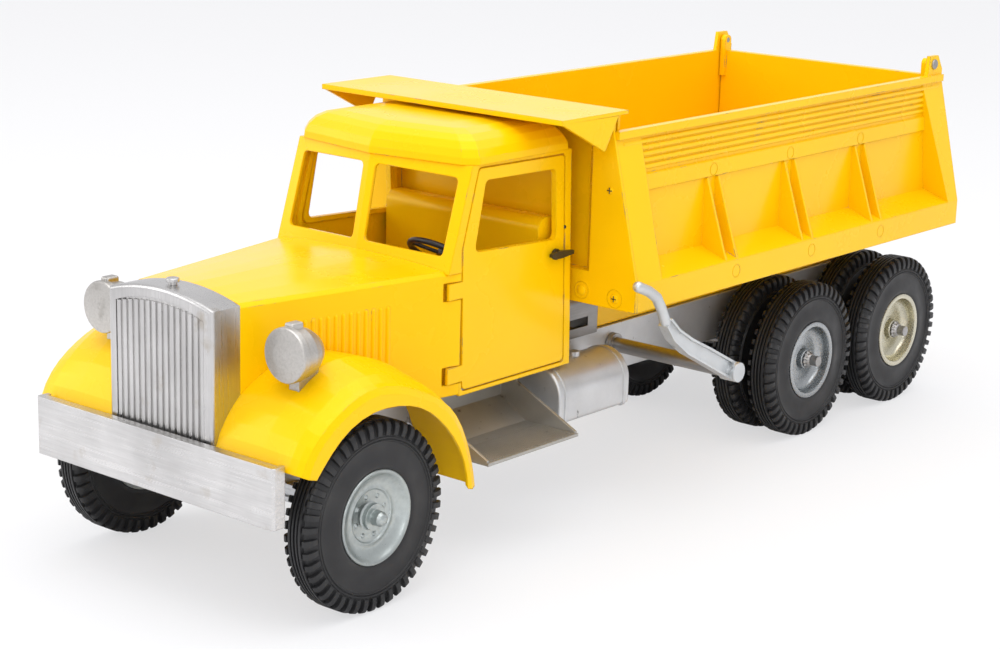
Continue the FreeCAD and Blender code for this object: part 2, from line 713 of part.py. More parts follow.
def fender():
    """The left mudguard: a crowned sheet with an outer skirt round the wheel arch."""
    arch = curve_points(FENDER_ARCH, 19)
    low = DECK + FENDER_CREST[-1][1] - 5
    front = (arch[0][0] - 8, low)
    opening = side_prism([front] + arch + [(arch[-1][0], low)], FENDER_X - 3 * FENDER_SHEET,
                         FENDER_X + 2)
    body = fender_outer().cut(fender_inner()).cut(opening)
    top = DECK + FENDER_CREST[4][1] + 20
    keep_out = [(0, GRILLE_Y0 - 20), (GRILLE_X, GRILLE_Y0 - 20), (GRILLE_X, GRILLE_Y1),
                (COWL_X, HOOD_Y1), (0, HOOD_Y1)]
    body = body.cut(plan_prism(keep_out, 0, top))
    solids = sorted(body.Solids, key=lambda s: s.Volume)
    return solids[-1]


def headlamp(skin):
    """The left headlamp: a bullet on a short foot that stands on the mudguard."""
    back = LAMP_Y + LAMP_LENGTH
    profile = [(LAMP_Y - 0.9, 0), (LAMP_Y - 0.7, LAMP_R * 0.5), (LAMP_Y, LAMP_R - 1.2),
               (LAMP_Y, LAMP_R - 0.4), (LAMP_Y + 0.8, LAMP_R), (LAMP_Y + 3.6, LAMP_R),
               (LAMP_Y + 4.2, LAMP_R - 0.6), (back - 13, LAMP_R - 0.9),
               (back - 9, LAMP_R - 2.2), (back - 5, LAMP_R - 4.9), (back - 2, LAMP_R - 8.2),
               (back - 0.5, 2.0), (back, 0)]
    corners = [V(LAMP_X, y, LAMP_Z + r) for y, r in profile]
    face = Part.Face(Part.makePolygon(corners + corners[:1]))
    bullet = face.revolve(V(LAMP_X, 0, LAMP_Z), V(0, 1, 0), 360)
    knob_z = LAMP_Z + LAMP_R - 0.6
    knob = rounded(box(LAMP_X - 2.6, LAMP_X + 2.6, LAMP_Y + 2.2, LAMP_Y + 9.5, knob_z - 3,
                       knob_z + 2.2), 1.1, lambda e: e.BoundBox.ZMax > knob_z)
    foot = box(LAMP_X - LAMP_FOOT_W / 2, LAMP_X + LAMP_FOOT_W / 2, LAMP_Y + 6, LAMP_Y + 18,
               LAMP_Z - LAMP_R - 8, LAMP_Z - 4)
    return join(bullet, knob, foot).cut(skin)


# Cab

def upper_cab(inset, z0, z1):
    """The cab above the waist as a full block with a two-plane front."""
    def outline(z):
        t = across(z, WAIST_Z, ROOF_SEAM_Z)
        w = CAB_X - inset
        middle = SCREEN_BASE_Y + (SCREEN_TOP_Y - SCREEN_BASE_Y) * t + inset
        corner = CORNER_BASE_Y + (CORNER_TOP_Y - CORNER_BASE_Y) * t + inset
        rear = cab_rear(z) - inset
        return [(0, middle, z), (w, corner, z), (w, rear, z), (-w, rear, z), (-w, corner, z)]
    return loft([outline(z0), outline(z1)])


def cab_rear(z):
    """The rear wall leans forward a little towards the roof."""
    return CAB_REAR_Y0 + (CAB_REAR_Y1 - CAB_REAR_Y0) * across(z, CAB_Z0, ROOF_SEAM_Z)


def lower_cab(inset, z0, z1, front):
    """The cab below the waist as a full block, from the doors to the rear wall."""
    w = CAB_X - inset
    a, b = cab_rear(z0) - inset, cab_rear(z1) - inset
    return loft([[(-w, front, z0), (w, front, z0), (w, a, z0), (-w, a, z0)],
                 [(-w, front, z1), (w, front, z1), (w, b, z1), (-w, b, z1)]])


def grown(points, gap):
    """An outline moved outward by a gap."""
    count = len(points)
    area = sum(points[n][0] * points[(n + 1) % count][1] - points[(n + 1) % count][0] * points[n][1]
               for n in range(count))
    sign = 1 if area > 0 else -1
    lines = []
    for n in range(count):
        (y0, z0), (y1, z1) = points[n], points[(n + 1) % count]
        length = math.hypot(y1 - y0, z1 - z0)
        ny, nz = sign * (z1 - z0) / length, -sign * (y1 - y0) / length
        lines.append((y0 + ny * gap, z0 + nz * gap, y1 - y0, z1 - z0))
    corners = []
    for n in range(count):
        ya, za, dya, dza = lines[n - 1]
        yb, zb, dyb, dzb = lines[n]
        cross = dya * dzb - dza * dyb
        t = ((yb - ya) * dzb - (zb - za) * dyb) / cross
        corners.append((ya + dya * t, za + dza * t))
    return corners


def soft_panel(points, x0, x1, radius):
    """A side panel with its corners rounded."""
    return rounded(side_prism(points, x0, x1), radius, lambda e: is_along(e, 0))


def cab_body():
    """Windscreen frame, pillars, rear wall and sills of the cab."""
    up = upper_cab(0, WAIST_Z, ROOF_SEAM_Z).cut(upper_cab(SHEET, WAIST_Z - 0.01, ROOF_SEAM_Z + 0.01))
    low = lower_cab(0, CAB_Z0, WAIST_Z, HOOD_Y1).cut(
        lower_cab(SHEET, CAB_Z0 - 1, WAIST_Z + 1, HOOD_Y1 - 1))
    body = join(up, low)
    door_hole = soft_panel(grown(DOOR, DOOR_GAP), -CAB_X - 2, CAB_X + 2, 2.5)
    body = body.cut(door_hole.cut(box(SHEET - CAB_X, CAB_X - SHEET, 0, 200, 0, 300)))
    for slot in door_strap_slots():
        body = body.cut(slot).cut(mirrored(slot))
    over_rails = RAIL_X + 0.5
    body = body.cut(box(-over_rails, over_rails, HOOD_Y1 + 10, CAB_REAR_Y0 + 10, 0, DECK + 0.3))
    x0, x1 = PANE_X
    z0, z1 = PANE_Z
    pane = [(x0, z0), (x1, z0 - 1.2), (x1, z1 - 1.6), (x0, z1)]
    hole = rounded(front_prism(pane, SCREEN_BASE_Y - 10, CORNER_TOP_Y + 8), 2.5,
                   lambda e: is_along(e, 1))
    body = body.cut(hole).cut(mirrored(hole))
    solids = sorted(body.Solids, key=lambda s: s.Volume)
    return solids[-1]


def roof_outline(z, inset):
    """The roof's edge at one level, with its corners cut off, drawn in towards its middle."""
    w = CAB_X + ROOF_OVERHANG
    front = SCREEN_TOP_Y - ROOF_OVERHANG
    corner = CORNER_TOP_Y - ROOF_OVERHANG
    rear = CAB_REAR_Y1 + ROOF_OVERHANG
    cut = ROOF_CORNER
    half = [(w - cut * 1.2, corner - cut * 0.2), (w, corner + cut), (w, rear - cut), (w - cut, rear)]
    edge = [(0, front)] + half + [(-x, y) for x, y in reversed(half)]
    share = 1 - inset / w
    middle = (front + rear) / 2
    return [(x * share, middle + (y - middle) * share, z) for x, y in edge]


def cab_roof():
    """The pressed roof panel with its rounded edge."""
    outer = loft([roof_outline(ROOF_SEAM_Z + ROOF_RISE * up, inset) for up, inset in ROOF_CURVE])
    t = SHEET + ROOF_OVERHANG
    rise = ROOF_RISE - SHEET
    inner = loft([roof_outline(ROOF_SEAM_Z - 1, t)]
                 + [roof_outline(ROOF_SEAM_Z + rise * up, inset + t) for up, inset in ROOF_CURVE])
    return outer.cut(inner)


def cab_floor():
    """The floor plate with the steering column's boss."""
    w = CAB_X - DOOR_FOLD - 0.3
    front = HINGE_Y - 21.6
    narrow = hood_half_width(front) - SHEET - 1.5
    waist = hood_half_width(HINGE_Y - 6) - SHEET - 5
    outline = [(-narrow, front), (narrow, front), (waist, HINGE_Y - 6), (waist, HOOD_Y1 + 2),
               (w, HOOD_Y1 + 2), (w, cab_rear(FLOOR_Z) - SHEET - 0.1),
               (-w, cab_rear(FLOOR_Z) - SHEET - 0.1), (-w, HOOD_Y1 + 2), (-waist, HOOD_Y1 + 2),
               (-waist, HINGE_Y - 6)]
    plate = plan_prism(outline, FLOOR_Z, FLOOR_Z + FLOOR_T)
    foot, top = column_ends()
    lean = math.radians(COLUMN_LEAN)
    axis = V(0, math.sin(lean), math.cos(lean))
    low = V(*foot)
    boss = Part.makeCylinder(COLUMN_BOSS_R, 9.0, low, axis)
    above = box(-200, 200, -200, 400, FLOOR_Z, 200)
    hole = Part.makeCylinder(COLUMN_R + RUN, 60, low - axis * 20, axis)
    return join(plate, boss.common(above)).cut(hole)


def column_ends():
    """Foot and top of the steering column's middle line."""
    x, y, z = STEER_WHEEL_AT
    lean = math.radians(COLUMN_LEAN)
    foot_z = FLOOR_Z + 1.3
    return (x, y - (z - foot_z) * math.tan(lean), foot_z), (x, y, z)


def steering_column():
    """The round column from the floor to the wheel."""
    foot, top = column_ends()
    return rod(foot, top, COLUMN_R)


def steering_wheel():
    """A ring with four spokes and a hub on the leaning column."""
    x, y, z = STEER_WHEEL_AT
    flat = V(0, 0, 1)
    ring = Part.makeTorus(STEER_WHEEL_R, STEER_RIM_R, V(0, 0, 0), flat)
    hub = Part.makeCylinder(4.2, 3.0, V(0, 0, 0), flat)
    spokes = []
    for n in range(4):
        turn = math.radians(45 + 90 * n)
        reach = STEER_WHEEL_R - STEER_RIM_R * 0.4
        end = (reach * math.cos(turn), reach * math.sin(turn), 0)
        start = (2 * math.cos(turn), 2 * math.sin(turn), 1.2)
        spokes.append(rod(start, end, 1.0))
    wheel = join(ring, hub, *spokes)
    wheel.rotate(V(0, 0, 0), V(1, 0, 0), -COLUMN_LEAN)
    wheel.translate(V(x, y, z))
    foot, top = column_ends()
    return wheel.cut(steering_column())


def seat():
    """A bench with a rolled top edge, pressed from sheet."""
    rear = cab_rear(SEAT_TOP_Z) - SHEET - 0.6
    top = FLOOR_Z + FLOOR_T
    cushion = rounded(box(-SEAT_X, SEAT_X, rear - SEAT_DEPTH, rear - SEAT_T + 2, top, SEAT_Z), 3.5,
                      lambda e: is_along(e, 0) and e.BoundBox.ZMin > SEAT_Z - 1)
    back = rounded(box(-SEAT_X, SEAT_X, rear - SEAT_T, rear, top, SEAT_TOP_Z), 6.0,
                   lambda e: is_along(e, 0) and e.BoundBox.ZMin > SEAT_TOP_Z - 1)
    return join(cushion, back)


# Doors

def door():
    """The left door: a skin with a window, a folded rim inside and two hinge straps."""
    skin = soft_panel(DOOR, CAB_X - SHEET, CAB_X, 2.5)
    glass = soft_panel(DOOR_WINDOW, CAB_X - 10, CAB_X + 1, 3.0)
    rim_out = soft_panel(grown(DOOR, -1.2), CAB_X - DOOR_FOLD, CAB_X - SHEET, 2.0)
    rim_in = soft_panel(grown(DOOR, -4.0), CAB_X - 5, CAB_X - SHEET, 2.0)
    frame = soft_panel(grown(DOOR_WINDOW, 2.6), CAB_X - 3.2, CAB_X - SHEET, 3.0)
    panel = join(skin, rim_out.cut(rim_in), frame).cut(glass)
    for z in HINGE_STRAP_Z:
        strap = box(CAB_X - SHEET, CAB_X, HINGE_STRAP_Y, DOOR[0][0] + 3, z, z + HINGE_STRAP_H)
        eye = rod((HINGE_X, HINGE_Y, z), (HINGE_X, HINGE_Y, z + HINGE_STRAP_H), HINGE_PIN_R + 1.2)
        stem = box(HINGE_X, CAB_X - SHEET, HINGE_Y - 1.2, HINGE_Y + 1.2, z, z + HINGE_STRAP_H)
        hole = rod((HINGE_X, HINGE_Y, z - 1), (HINGE_X, HINGE_Y, z + HINGE_STRAP_H + 1),
                   HINGE_PIN_R + RUN)
        panel = join(panel, strap, eye, stem).cut(hole)
    bore = rod((CAB_X - 8, HANDLE_Y, HANDLE_Z), (CAB_X + 1, HANDLE_Y, HANDLE_Z),
               HANDLE_SHAFT_R + RUN)
    return panel.cut(bore)


def door_hinge_pins():
    """The upright pins that both doors turn on."""
    z0 = HINGE_STRAP_Z[0] - 0.6
    z1 = HINGE_STRAP_Z[1] + HINGE_STRAP_H + 0.6
    pin = rod((HINGE_X, HINGE_Y, z0), (HINGE_X, HINGE_Y, z1), HINGE_PIN_R)
    return group(pin, mirrored(pin))


def door_handle():
    """The left outside handle, its shaft and the round plate inside the door."""
    shaft = rod((CAB_X - 5.0, HANDLE_Y, HANDLE_Z), (CAB_X + 3.6, HANDLE_Y, HANDLE_Z), HANDLE_SHAFT_R)
    plate = rod((CAB_X - 5.0, HANDLE_Y, HANDLE_Z), (CAB_X - 3.9, HANDLE_Y, HANDLE_Z), 3.6)
    boss = rod((CAB_X + 0.3, HANDLE_Y, HANDLE_Z), (CAB_X + 1.6, HANDLE_Y, HANDLE_Z), 2.8)
    grip = [(HANDLE_Y - 5.8, HANDLE_Z + 1.0), (HANDLE_Y - 1.5, HANDLE_Z + 1.8),
            (HANDLE_Y + 2.5, HANDLE_Z + 1.8), (HANDLE_Y + 11.0, HANDLE_Z + 0.9),
            (HANDLE_Y + 11.0, HANDLE_Z - 0.9), (HANDLE_Y + 2.5, HANDLE_Z - 1.8),
            (HANDLE_Y - 1.5, HANDLE_Z - 1.8), (HANDLE_Y - 5.8, HANDLE_Z - 0.6)]
    return join(shaft, plate, boss, side_prism(grip, CAB_X + 1.6, CAB_X + 3.8))


# Steps and tanks

def step():
    """The left step: back plate, slope, tread and two end gussets."""
    t = SHEET
    back_x = RAIL_X + 0.1
    fold_z = RAIL_Z0 + 6
    top_z = CAB_Z0 - 0.6
    sheet = [(back_x, top_z), (back_x, fold_z), (STEP_INNER_X, STEP_Z - t), (STEP_X, STEP_Z - t),
             (STEP_X, STEP_Z), (STEP_INNER_X + 0.4, STEP_Z), (back_x + t, fold_z + 0.8),
             (back_x + t, top_z)]
    gusset = [(back_x, top_z), (back_x + 8, top_z), (STEP_INNER_X - 6, STEP_Z + 19),
              (STEP_X - 1, STEP_Z + 0.8), (STEP_X - 1, STEP_Z - 0.4),
              (STEP_INNER_X, STEP_Z - t + 0.4), (back_x, fold_z + 0.4)]
    y0, y1 = STEP_Y
    return join(front_prism(sheet, y0, y1), front_prism(gusset, y0, y0 + t),
                front_prism(gusset, y1 - t, y1))


def fuel_tank():
    """The left tank: round on top, flat below, with a rolled rim at each end and a cap."""
    x0, x1 = TANK_X
    r = (x1 - x0) / 2
    xm = (x0 + x1) / 2
    zm = TANK_Z1 - r

    def slab(grow, y0, y1):
        body = join(box(x0 - grow, x1 + grow, y0, y1, TANK_Z0 - grow, zm),
                    rod((xm, y0, zm), (xm, y1, zm), r + grow))
        return rounded(body, 2.5, lambda e: is_along(e, 1) and e.BoundBox.ZMax < zm - 2)
    y0, y1 = TANK_Y
    core = rounded(slab(0, y0, y1), 1.5, lambda e: e.BoundBox.YMax < y0 + 0.01
                   or e.BoundBox.YMin > y1 - 0.01)
    band = slab(0.5, y0 + 4.0, y0 + 5.6)
    other = slab(0.5, y1 - 5.6, y1 - 4.0)
    ym = (y0 + y1) / 2
    neck = rod((xm, ym, TANK_Z1 - 3), (xm, ym, TANK_Z1 + 2.2), TANK_CAP_R)
    body = join(core, band, other, neck)
    return body.cut(box(x0 - 5, RAIL_X + 0.6, y0 - 5, y1 + 5, 0, 100))


def tank_brackets():
    """Pads between the left tank and the rail."""
    x0 = RAIL_X
    x1 = TANK_X[0]
    z0, z1 = RAIL_Z0 + 2, TANK_Z1 - 12
    pads = []
    for y in (TANK_Y[0] + 12, TANK_Y[1] - 16):
        pads.append(box(x0, x1, y, y + 4, z0, z1))
    return pads


def hoist_housing():
    """The sheet housing over the tipping gear, behind the cab."""
    z0 = RAIL_Z0 + RAIL_H
    y0, y1 = HOIST_Y
    body = rounded(box(-HOIST_X, HOIST_X, y0, y1, z0, HOIST_Z1), 7.0,
                   lambda e: is_along(e, 1) and e.BoundBox.ZMin > HOIST_Z1 - 1)
    inside = rounded(box(2 - HOIST_X, HOIST_X - 2, y0 + 2, y1 - 2, z0 - 1, HOIST_Z1 - 2), 5.0,
                     lambda e: is_along(e, 1) and e.BoundBox.ZMin > HOIST_Z1 - 3)
    slot = box(-HOIST_X - 1, HOIST_X + 1, y0 + 12, y1 - 8, z0 + 5, z0 + 10)
    return body.cut(inside).cut(slot)


# Load bed

def bed_edge_x(z):
    """The sloping outer plane of the bed's posts."""
    t = across(min(max(z, BED_LIP_Z), BED_Z1), BED_Z1, BED_LIP_Z)
    return BED_TOP_X + (BED_LIP_X - BED_TOP_X) * t


def post(y_top, y_foot):
    """One upright post of the left side, tapering down from y_top to y_foot widths."""
    x0 = BED_SKIN_X[0]
    outline = [(y_top[0], BED_Z1), (y_top[1], BED_Z1), (y_foot[1], BED_LIP_Z),
               (y_foot[1], BED_Z0), (y_foot[0], BED_Z0), (y_foot[0], BED_LIP_Z)]
    slab = side_prism(outline, x0, BED_LIP_X)
    wedge = front_prism([(x0, BED_Z0), (BED_LIP_X, BED_Z0), (BED_LIP_X, BED_LIP_Z),
                         (BED_TOP_X, BED_Z1), (x0, BED_Z1)], BED_Y0 - 5, BED_Y1 + 5)
    return slab.common(wedge)


def bed_side():
    """The left side of the bed: skin, rail, corrugations, posts, fins, shelf and lip."""
    x0, x1 = BED_SKIN_X
    front = BED_Y0 + BED_SHEET
    rear = BED_Y1
    rail_t, rail_h = TOP_RAIL
    lip_in = BED_LIP_X - BED_SHEET
    profile = [(x0, BED_Z0), (x0, BED_Z1), (x1 + rail_t, BED_Z1), (x1 + rail_t, BED_Z1 - rail_h),
               (x1, BED_Z1 - rail_h), (x1, BAND_Z[1]), (x1 + BAND_T, BAND_Z[1] - 0.6),
               (x1 + BAND_T, BAND_Z[0] + 0.6), (x1, BAND_Z[0]), (x1, SHELF_Z),
               (BED_LIP_X, BED_LIP_Z), (BED_LIP_X, BED_Z0), (lip_in, BED_Z0),
               (lip_in, BED_LIP_Z - BED_SHEET), (x1, SHELF_Z - 2.2), (x1, BED_Z0)]
    skin = front_prism(profile, front, rear - 1)
    pieces = [skin, post((front, front + POST_W), (front, front + POST_W)),
              post((rear - REAR_POST_TOP_W, rear), (rear - REAR_POST_FOOT_W, rear))]
    pitch = (CORRUGATION_Z[1] - CORRUGATION_Z[0]) / (CORRUGATIONS - 1)
    for n in range(CORRUGATIONS):
        z = CORRUGATION_Z[0] + n * pitch
        pieces.append(rod((x1, front + 5, z), (x1, rear - 5, z), CORRUGATION_R))
    fin = [(x1 - 1, SHELF_Z - 2), (BED_LIP_X - 1, BED_LIP_Z), (bed_edge_x(SHELF_Z) - 2, SHELF_Z),
           (x1 + BAND_T, FIN_TOP_Z), (x1 - 1, FIN_TOP_Z)]
    for y in FIN_Y:
        for start in (y - FIN_PAIR_W / 2 - FIN_T / 2, y + FIN_PAIR_W / 2 - FIN_T / 2):
            pieces.append(front_prism(fin, start, start + FIN_T))
    lug = side_prism([(GATE_PIN_Y - LUG_W / 2, BED_Z1 - 2), (rear, BED_Z1 - 2),
                      (rear, BED_Z1 + 3), (GATE_PIN_Y + 4.6, LUG_Z1), (GATE_PIN_Y - 4.6, LUG_Z1)],
                     x0, x1)
    side = join(*pieces, lug)
    hole = rod((x0 - 1, GATE_PIN_Y, GATE_PIN_Z), (x1 + 2, GATE_PIN_Y, GATE_PIN_Z), GATE_PIN_R)
    return side.cut(hole)


def arm_rest_angle():
    """Angle of the lift arms above level at rest, so that the roller meets the cam's low end."""
    rise = BED_FLOOR_Z[0] - CAM_MIN - ROLLER_GAP - ROLLER_R - SHAFT_Z
    return math.asin(rise / ARM_LENGTH)


def lift_ratio():
    """Turn of the lift arms for each turn of the bed: the roller starts level with the floor."""
    return (PIVOT_Y - SHAFT_Y) / (ARM_LENGTH * math.cos(arm_rest_angle())) - 1


def roller_in_bed(tip):
    """Centre of the roller, seen from the bed, when the bed is tipped by an angle."""
    lift = arm_rest_angle() + lift_ratio() * tip
    y = SHAFT_Y + ARM_LENGTH * math.cos(lift) - PIVOT_Y
    z = SHAFT_Z + ARM_LENGTH * math.sin(lift) - PIVOT_Z
    c, s = math.cos(tip), math.sin(tip)
    return PIVOT_Y + y * c - z * s, PIVOT_Z + y * s + z * c


def lift_cam():
    """The curved rib under the bed that the roller runs along."""
    path = []
    for n in range(CAM_STEPS + 1):
        path.append(roller_in_bed(math.radians(TIP_MAX) * n / CAM_STEPS))
    reach = ROLLER_R + ROLLER_GAP
    last = len(path) - 1
    edge = []
    for n, (y, z) in enumerate(path):
        (ya, za), (yb, zb) = path[max(n - 1, 0)], path[min(n + 1, last)]
        length = math.hypot(yb - ya, zb - za)
        edge.append((y + reach * (zb - za) / length, z - reach * (yb - ya) / length))
    top = BED_FLOOR_Z[0]
    toe = 2 * ROLLER_R
    start = (edge[0][0] + toe, edge[0][1])
    outline = [(start[0], top), start] + edge + [(edge[-1][0] - 1.5 * ROLLER_R, edge[-1][1]),
                                                 (edge[-1][0] - 3.5 * ROLLER_R, top)]
    return side_prism(outline, -CAM_HALF_W, CAM_HALF_W)


def bed_floor():
    """The floor plate with its two channel sills, the cam rib and the pivot bores."""
    x = BED_SKIN_X[0]
    z0, z1 = BED_FLOOR_Z
    plate = box(-x, x, HEAD_RECESS_Y + BED_SHEET, GATE_PIN_Y - GATE_T / 2 - 0.4, z0, z1)
    sill_z0 = RAIL_Z0 + RAIL_H + SILL_CLEAR
    xi, xo = SILL_X
    web = 2.0
    sill = box(xi, xo, SILL_Y0, PIVOT_Y, sill_z0, z0)
    sill = sill.cut(box(xi - 1, xo - web, SILL_Y0 - 1, PIVOT_Y - SILL_END_R, sill_z0 + web, z0 - web))
    end = rod((xi, PIVOT_Y, PIVOT_Z), (xo, PIVOT_Y, PIVOT_Z), SILL_END_R)
    end = end.common(box(xi, xo, PIVOT_Y - 1, PIVOT_Y + 30, 0, z0))
    sill = join(sill, end)
    floor = join(plate, sill, mirrored(sill), lift_cam())
    hole = rod((-SILL_X[1] - 2, PIVOT_Y, PIVOT_Z), (SILL_X[1] + 2, PIVOT_Y, PIVOT_Z), PIVOT_R + RUN)
    return floor.cut(hole)


def headboard():
    """Front panel of the bed with its side flanges, lower apron and the cab canopy."""
    t = BED_SHEET
    xa, xb = HEAD_RECESS_X
    y0 = BED_Y0
    y1 = HEAD_RECESS_Y
    top = CANOPY_Z1 - t
    panel = box(-xa, xa, y1, y1 + t, BED_FLOOR_Z[0], top)
    jamb = plan_prism([(xa - 1, y1), (xb - 0.5, y0), (xb + 1.5, y0 + t), (xa + 1, y1 + t),
                       (xa - 1, y1 + t)], BED_FLOOR_Z[0], top)
    flange = front_prism([(xb - 0.5, BED_Z0), (BED_LIP_X, BED_Z0), (BED_LIP_X, BED_LIP_Z),
                          (BED_TOP_X, BED_Z1), (BED_TOP_X, top), (xb - 0.5, top)], y0, y0 + t)
    filler = box(xa + 0.4, BED_SKIN_X[0], y1, y1 + t, BED_FLOOR_Z[0], top)
    apron = box(-xb, xb, y0, y0 + t, BED_Z0, APRON_Z1)
    ledge = box(-xb, xb, y0, y1 + t, APRON_Z1 - t, APRON_Z1)
    roof = box(-CANOPY_X, CANOPY_X, CANOPY_Y0, y1 + t, top, CANOPY_Z1)
    lip = box(-CANOPY_X, CANOPY_X, CANOPY_Y0, CANOPY_Y0 + t, CANOPY_Z1 - CANOPY_LIP, CANOPY_Z1)
    corners = [(CANOPY_Y0, top)] + [(y, CANOPY_Z1 - depth) for y, depth in CANOPY_GUSSET]
    gusset = side_prism(corners, CANOPY_X - t, CANOPY_X)
    return join(panel, jamb, mirrored(jamb), flange, mirrored(flange), filler, mirrored(filler),
                apron, ledge, roof, lip, gusset, mirrored(gusset))


def tailgate():
    """The rear panel, hung from two straps, with a folded stiffening frame."""
    x = BED_SKIN_X[0] - GATE_GAP
    y0 = GATE_PIN_Y - GATE_T / 2
    y1 = GATE_PIN_Y + GATE_T / 2
    z0 = BED_Z0 + 0.6
    panel = box(-x, x, y0, y1, z0, BED_Z1)
    frame = box(-x, x, y1, y1 + 3, z0, BED_Z1).cut(
        box(8 - x, x - 8, y1 - 1, y1 + 5, z0 + 10, BED_Z1 - 9))
    ribs = [box(px - 4, px + 4, y1, y1 + 3, z0, BED_Z1) for px in (-x / 3, x / 3)]
    straps = []
    for side in (-1, 1):
        xs = sorted((side * x, side * (x - GATE_STRAP_W)))
        strap = box(xs[0], xs[1], GATE_PIN_Y - 3.2, GATE_PIN_Y + 3.2, BED_Z1 - 16, GATE_PIN_Z)
        eye = rod((xs[0], GATE_PIN_Y, GATE_PIN_Z), (xs[1], GATE_PIN_Y, GATE_PIN_Z), 3.2)
        straps += [strap, eye]
    gate = join(panel, frame, *ribs, *straps)
    hole = rod((-x - 1, GATE_PIN_Y, GATE_PIN_Z), (x + 1, GATE_PIN_Y, GATE_PIN_Z), GATE_PIN_R + RUN)
    return gate.cut(hole)


def tailgate_pins():
    """The two round pins that the tailgate hangs on, held in the sides' lugs."""
    x_in = BED_SKIN_X[0] - GATE_GAP - GATE_STRAP_W
    x_out = BED_SKIN_X[1]
    pin = rod((x_in, GATE_PIN_Y, GATE_PIN_Z), (x_out, GATE_PIN_Y, GATE_PIN_Z), GATE_PIN_R)
    head = rod((x_out, GATE_PIN_Y, GATE_PIN_Z), (x_out + 1.2, GATE_PIN_Y, GATE_PIN_Z), 3.0)
    one = join(pin, rounded(head, 0.7, lambda e: e.BoundBox.XMin > x_out + 1))
    return group(one, mirrored(one))


def body_screws():
    """Cross-head screws through the headboard's flanges and apron."""
    screws = []
    for x, z in ((BED_LIP_X - 12.9, BED_Z0 + 5.4), (HEAD_RECESS_X[0] - 3.0, BED_Z0 + 6.4),
                 (BED_TOP_X - 0.4, FIN_TOP_Z + 3.5)):
        y = BED_Y0
        head = rounded(rod((x, y, z), (x, y - 1.0, z), 2.8), 0.6,
                       lambda e: e.BoundBox.YMax < y - 0.9)
        cross = join(box(x - 1.8, x + 1.8, y - 2, y - 0.4, z - 0.3, z + 0.3),
                     box(x - 0.3, x + 0.3, y - 2, y - 0.4, z - 1.8, z + 1.8))
        screw = head.cut(cross)
        screws += [screw, mirrored(screw)]
    return group(*screws)


# Tipping gear

def pivot_brackets():
    """Plates on the rails' rear ends that carry the bed's pivot shaft."""
    z0 = RAIL_Z0 + 8
    plate = side_prism([(PIVOT_Y - 12, z0), (PIVOT_Y + 11, z0), (PIVOT_Y + 11, PIVOT_Z),
                        (PIVOT_Y + 5, PIVOT_Z + 6), (PIVOT_Y - 5, PIVOT_Z + 6),
                        (PIVOT_Y - 12, PIVOT_Z - 4)], RAIL_X, RAIL_X + 2)
    hole = rod((RAIL_X - 1, PIVOT_Y, PIVOT_Z), (RAIL_X + 3, PIVOT_Y, PIVOT_Z), PIVOT_R)
    one = plate.cut(hole)
    return group(one, mirrored(one))


def pivot_shaft():
    """The shaft that the bed tips about."""
    x = RAIL_X + 3
    shaft = rod((-x, PIVOT_Y, PIVOT_Z), (x, PIVOT_Y, PIVOT_Z), PIVOT_R)
    head = rod((RAIL_X + 2, PIVOT_Y, PIVOT_Z), (x + 0.4, PIVOT_Y, PIVOT_Z), PIVOT_R + 1.4)
    return join(shaft, head, mirrored(head))


def lift_shaft():
    """The cross shaft with its two lift arms and the roller between them."""
    shaft = rod((-RAIL_X - 3, SHAFT_Y, SHAFT_Z), (LEVER_X[0], SHAFT_Y, SHAFT_Z), SHAFT_R)
    collar = rod((-RAIL_X - 3, SHAFT_Y, SHAFT_Z), (-RAIL_X - 0.3, SHAFT_Y, SHAFT_Z), SHAFT_R + 2)
    stop = rod((RAIL_X + 0.3, SHAFT_Y, SHAFT_Z), (RAIL_X + 3, SHAFT_Y, SHAFT_Z), SHAFT_R + 2)
    angle = math.degrees(arm_rest_angle())
    x0, x1 = ARM_X
    arm = box(x0, x1, 0, ARM_LENGTH, -ROLLER_R, ROLLER_R)
    arm = join(arm, rod((x0, ARM_LENGTH, 0), (x1, ARM_LENGTH, 0), ROLLER_R),
               rod((x0 - 1, 0, 0), (x1 + 1, 0, 0), SHAFT_R + 2))
    roller = rod((-x0, ARM_LENGTH, 0), (x0, ARM_LENGTH, 0), ROLLER_R)
    arms = join(arm, mirrored(arm), roller)
    arms.rotate(V(0, 0, 0), V(1, 0, 0), angle)
    arms.translate(V(0, SHAFT_Y, SHAFT_Z))
    return join(shaft, collar, stop, arms)


def tapered_strip(route, widths, x0, x1):
    """A bar along (y, z) points, of the given widths, from x0 to x1."""
    left, right = [], []
    last = len(route) - 1
    for n, (y, z) in enumerate(route):
        (ya, za), (yb, zb) = route[max(n - 1, 0)], route[min(n + 1, last)]
        length = math.hypot(yb - ya, zb - za)
        ny, nz = (zb - za) / length, -(yb - ya) / length
        half = widths[n] / 2
        left.append((y + ny * half, z + nz * half))
        right.append((y - ny * half, z - nz * half))
    return side_prism(left + right[::-1], x0, x1)


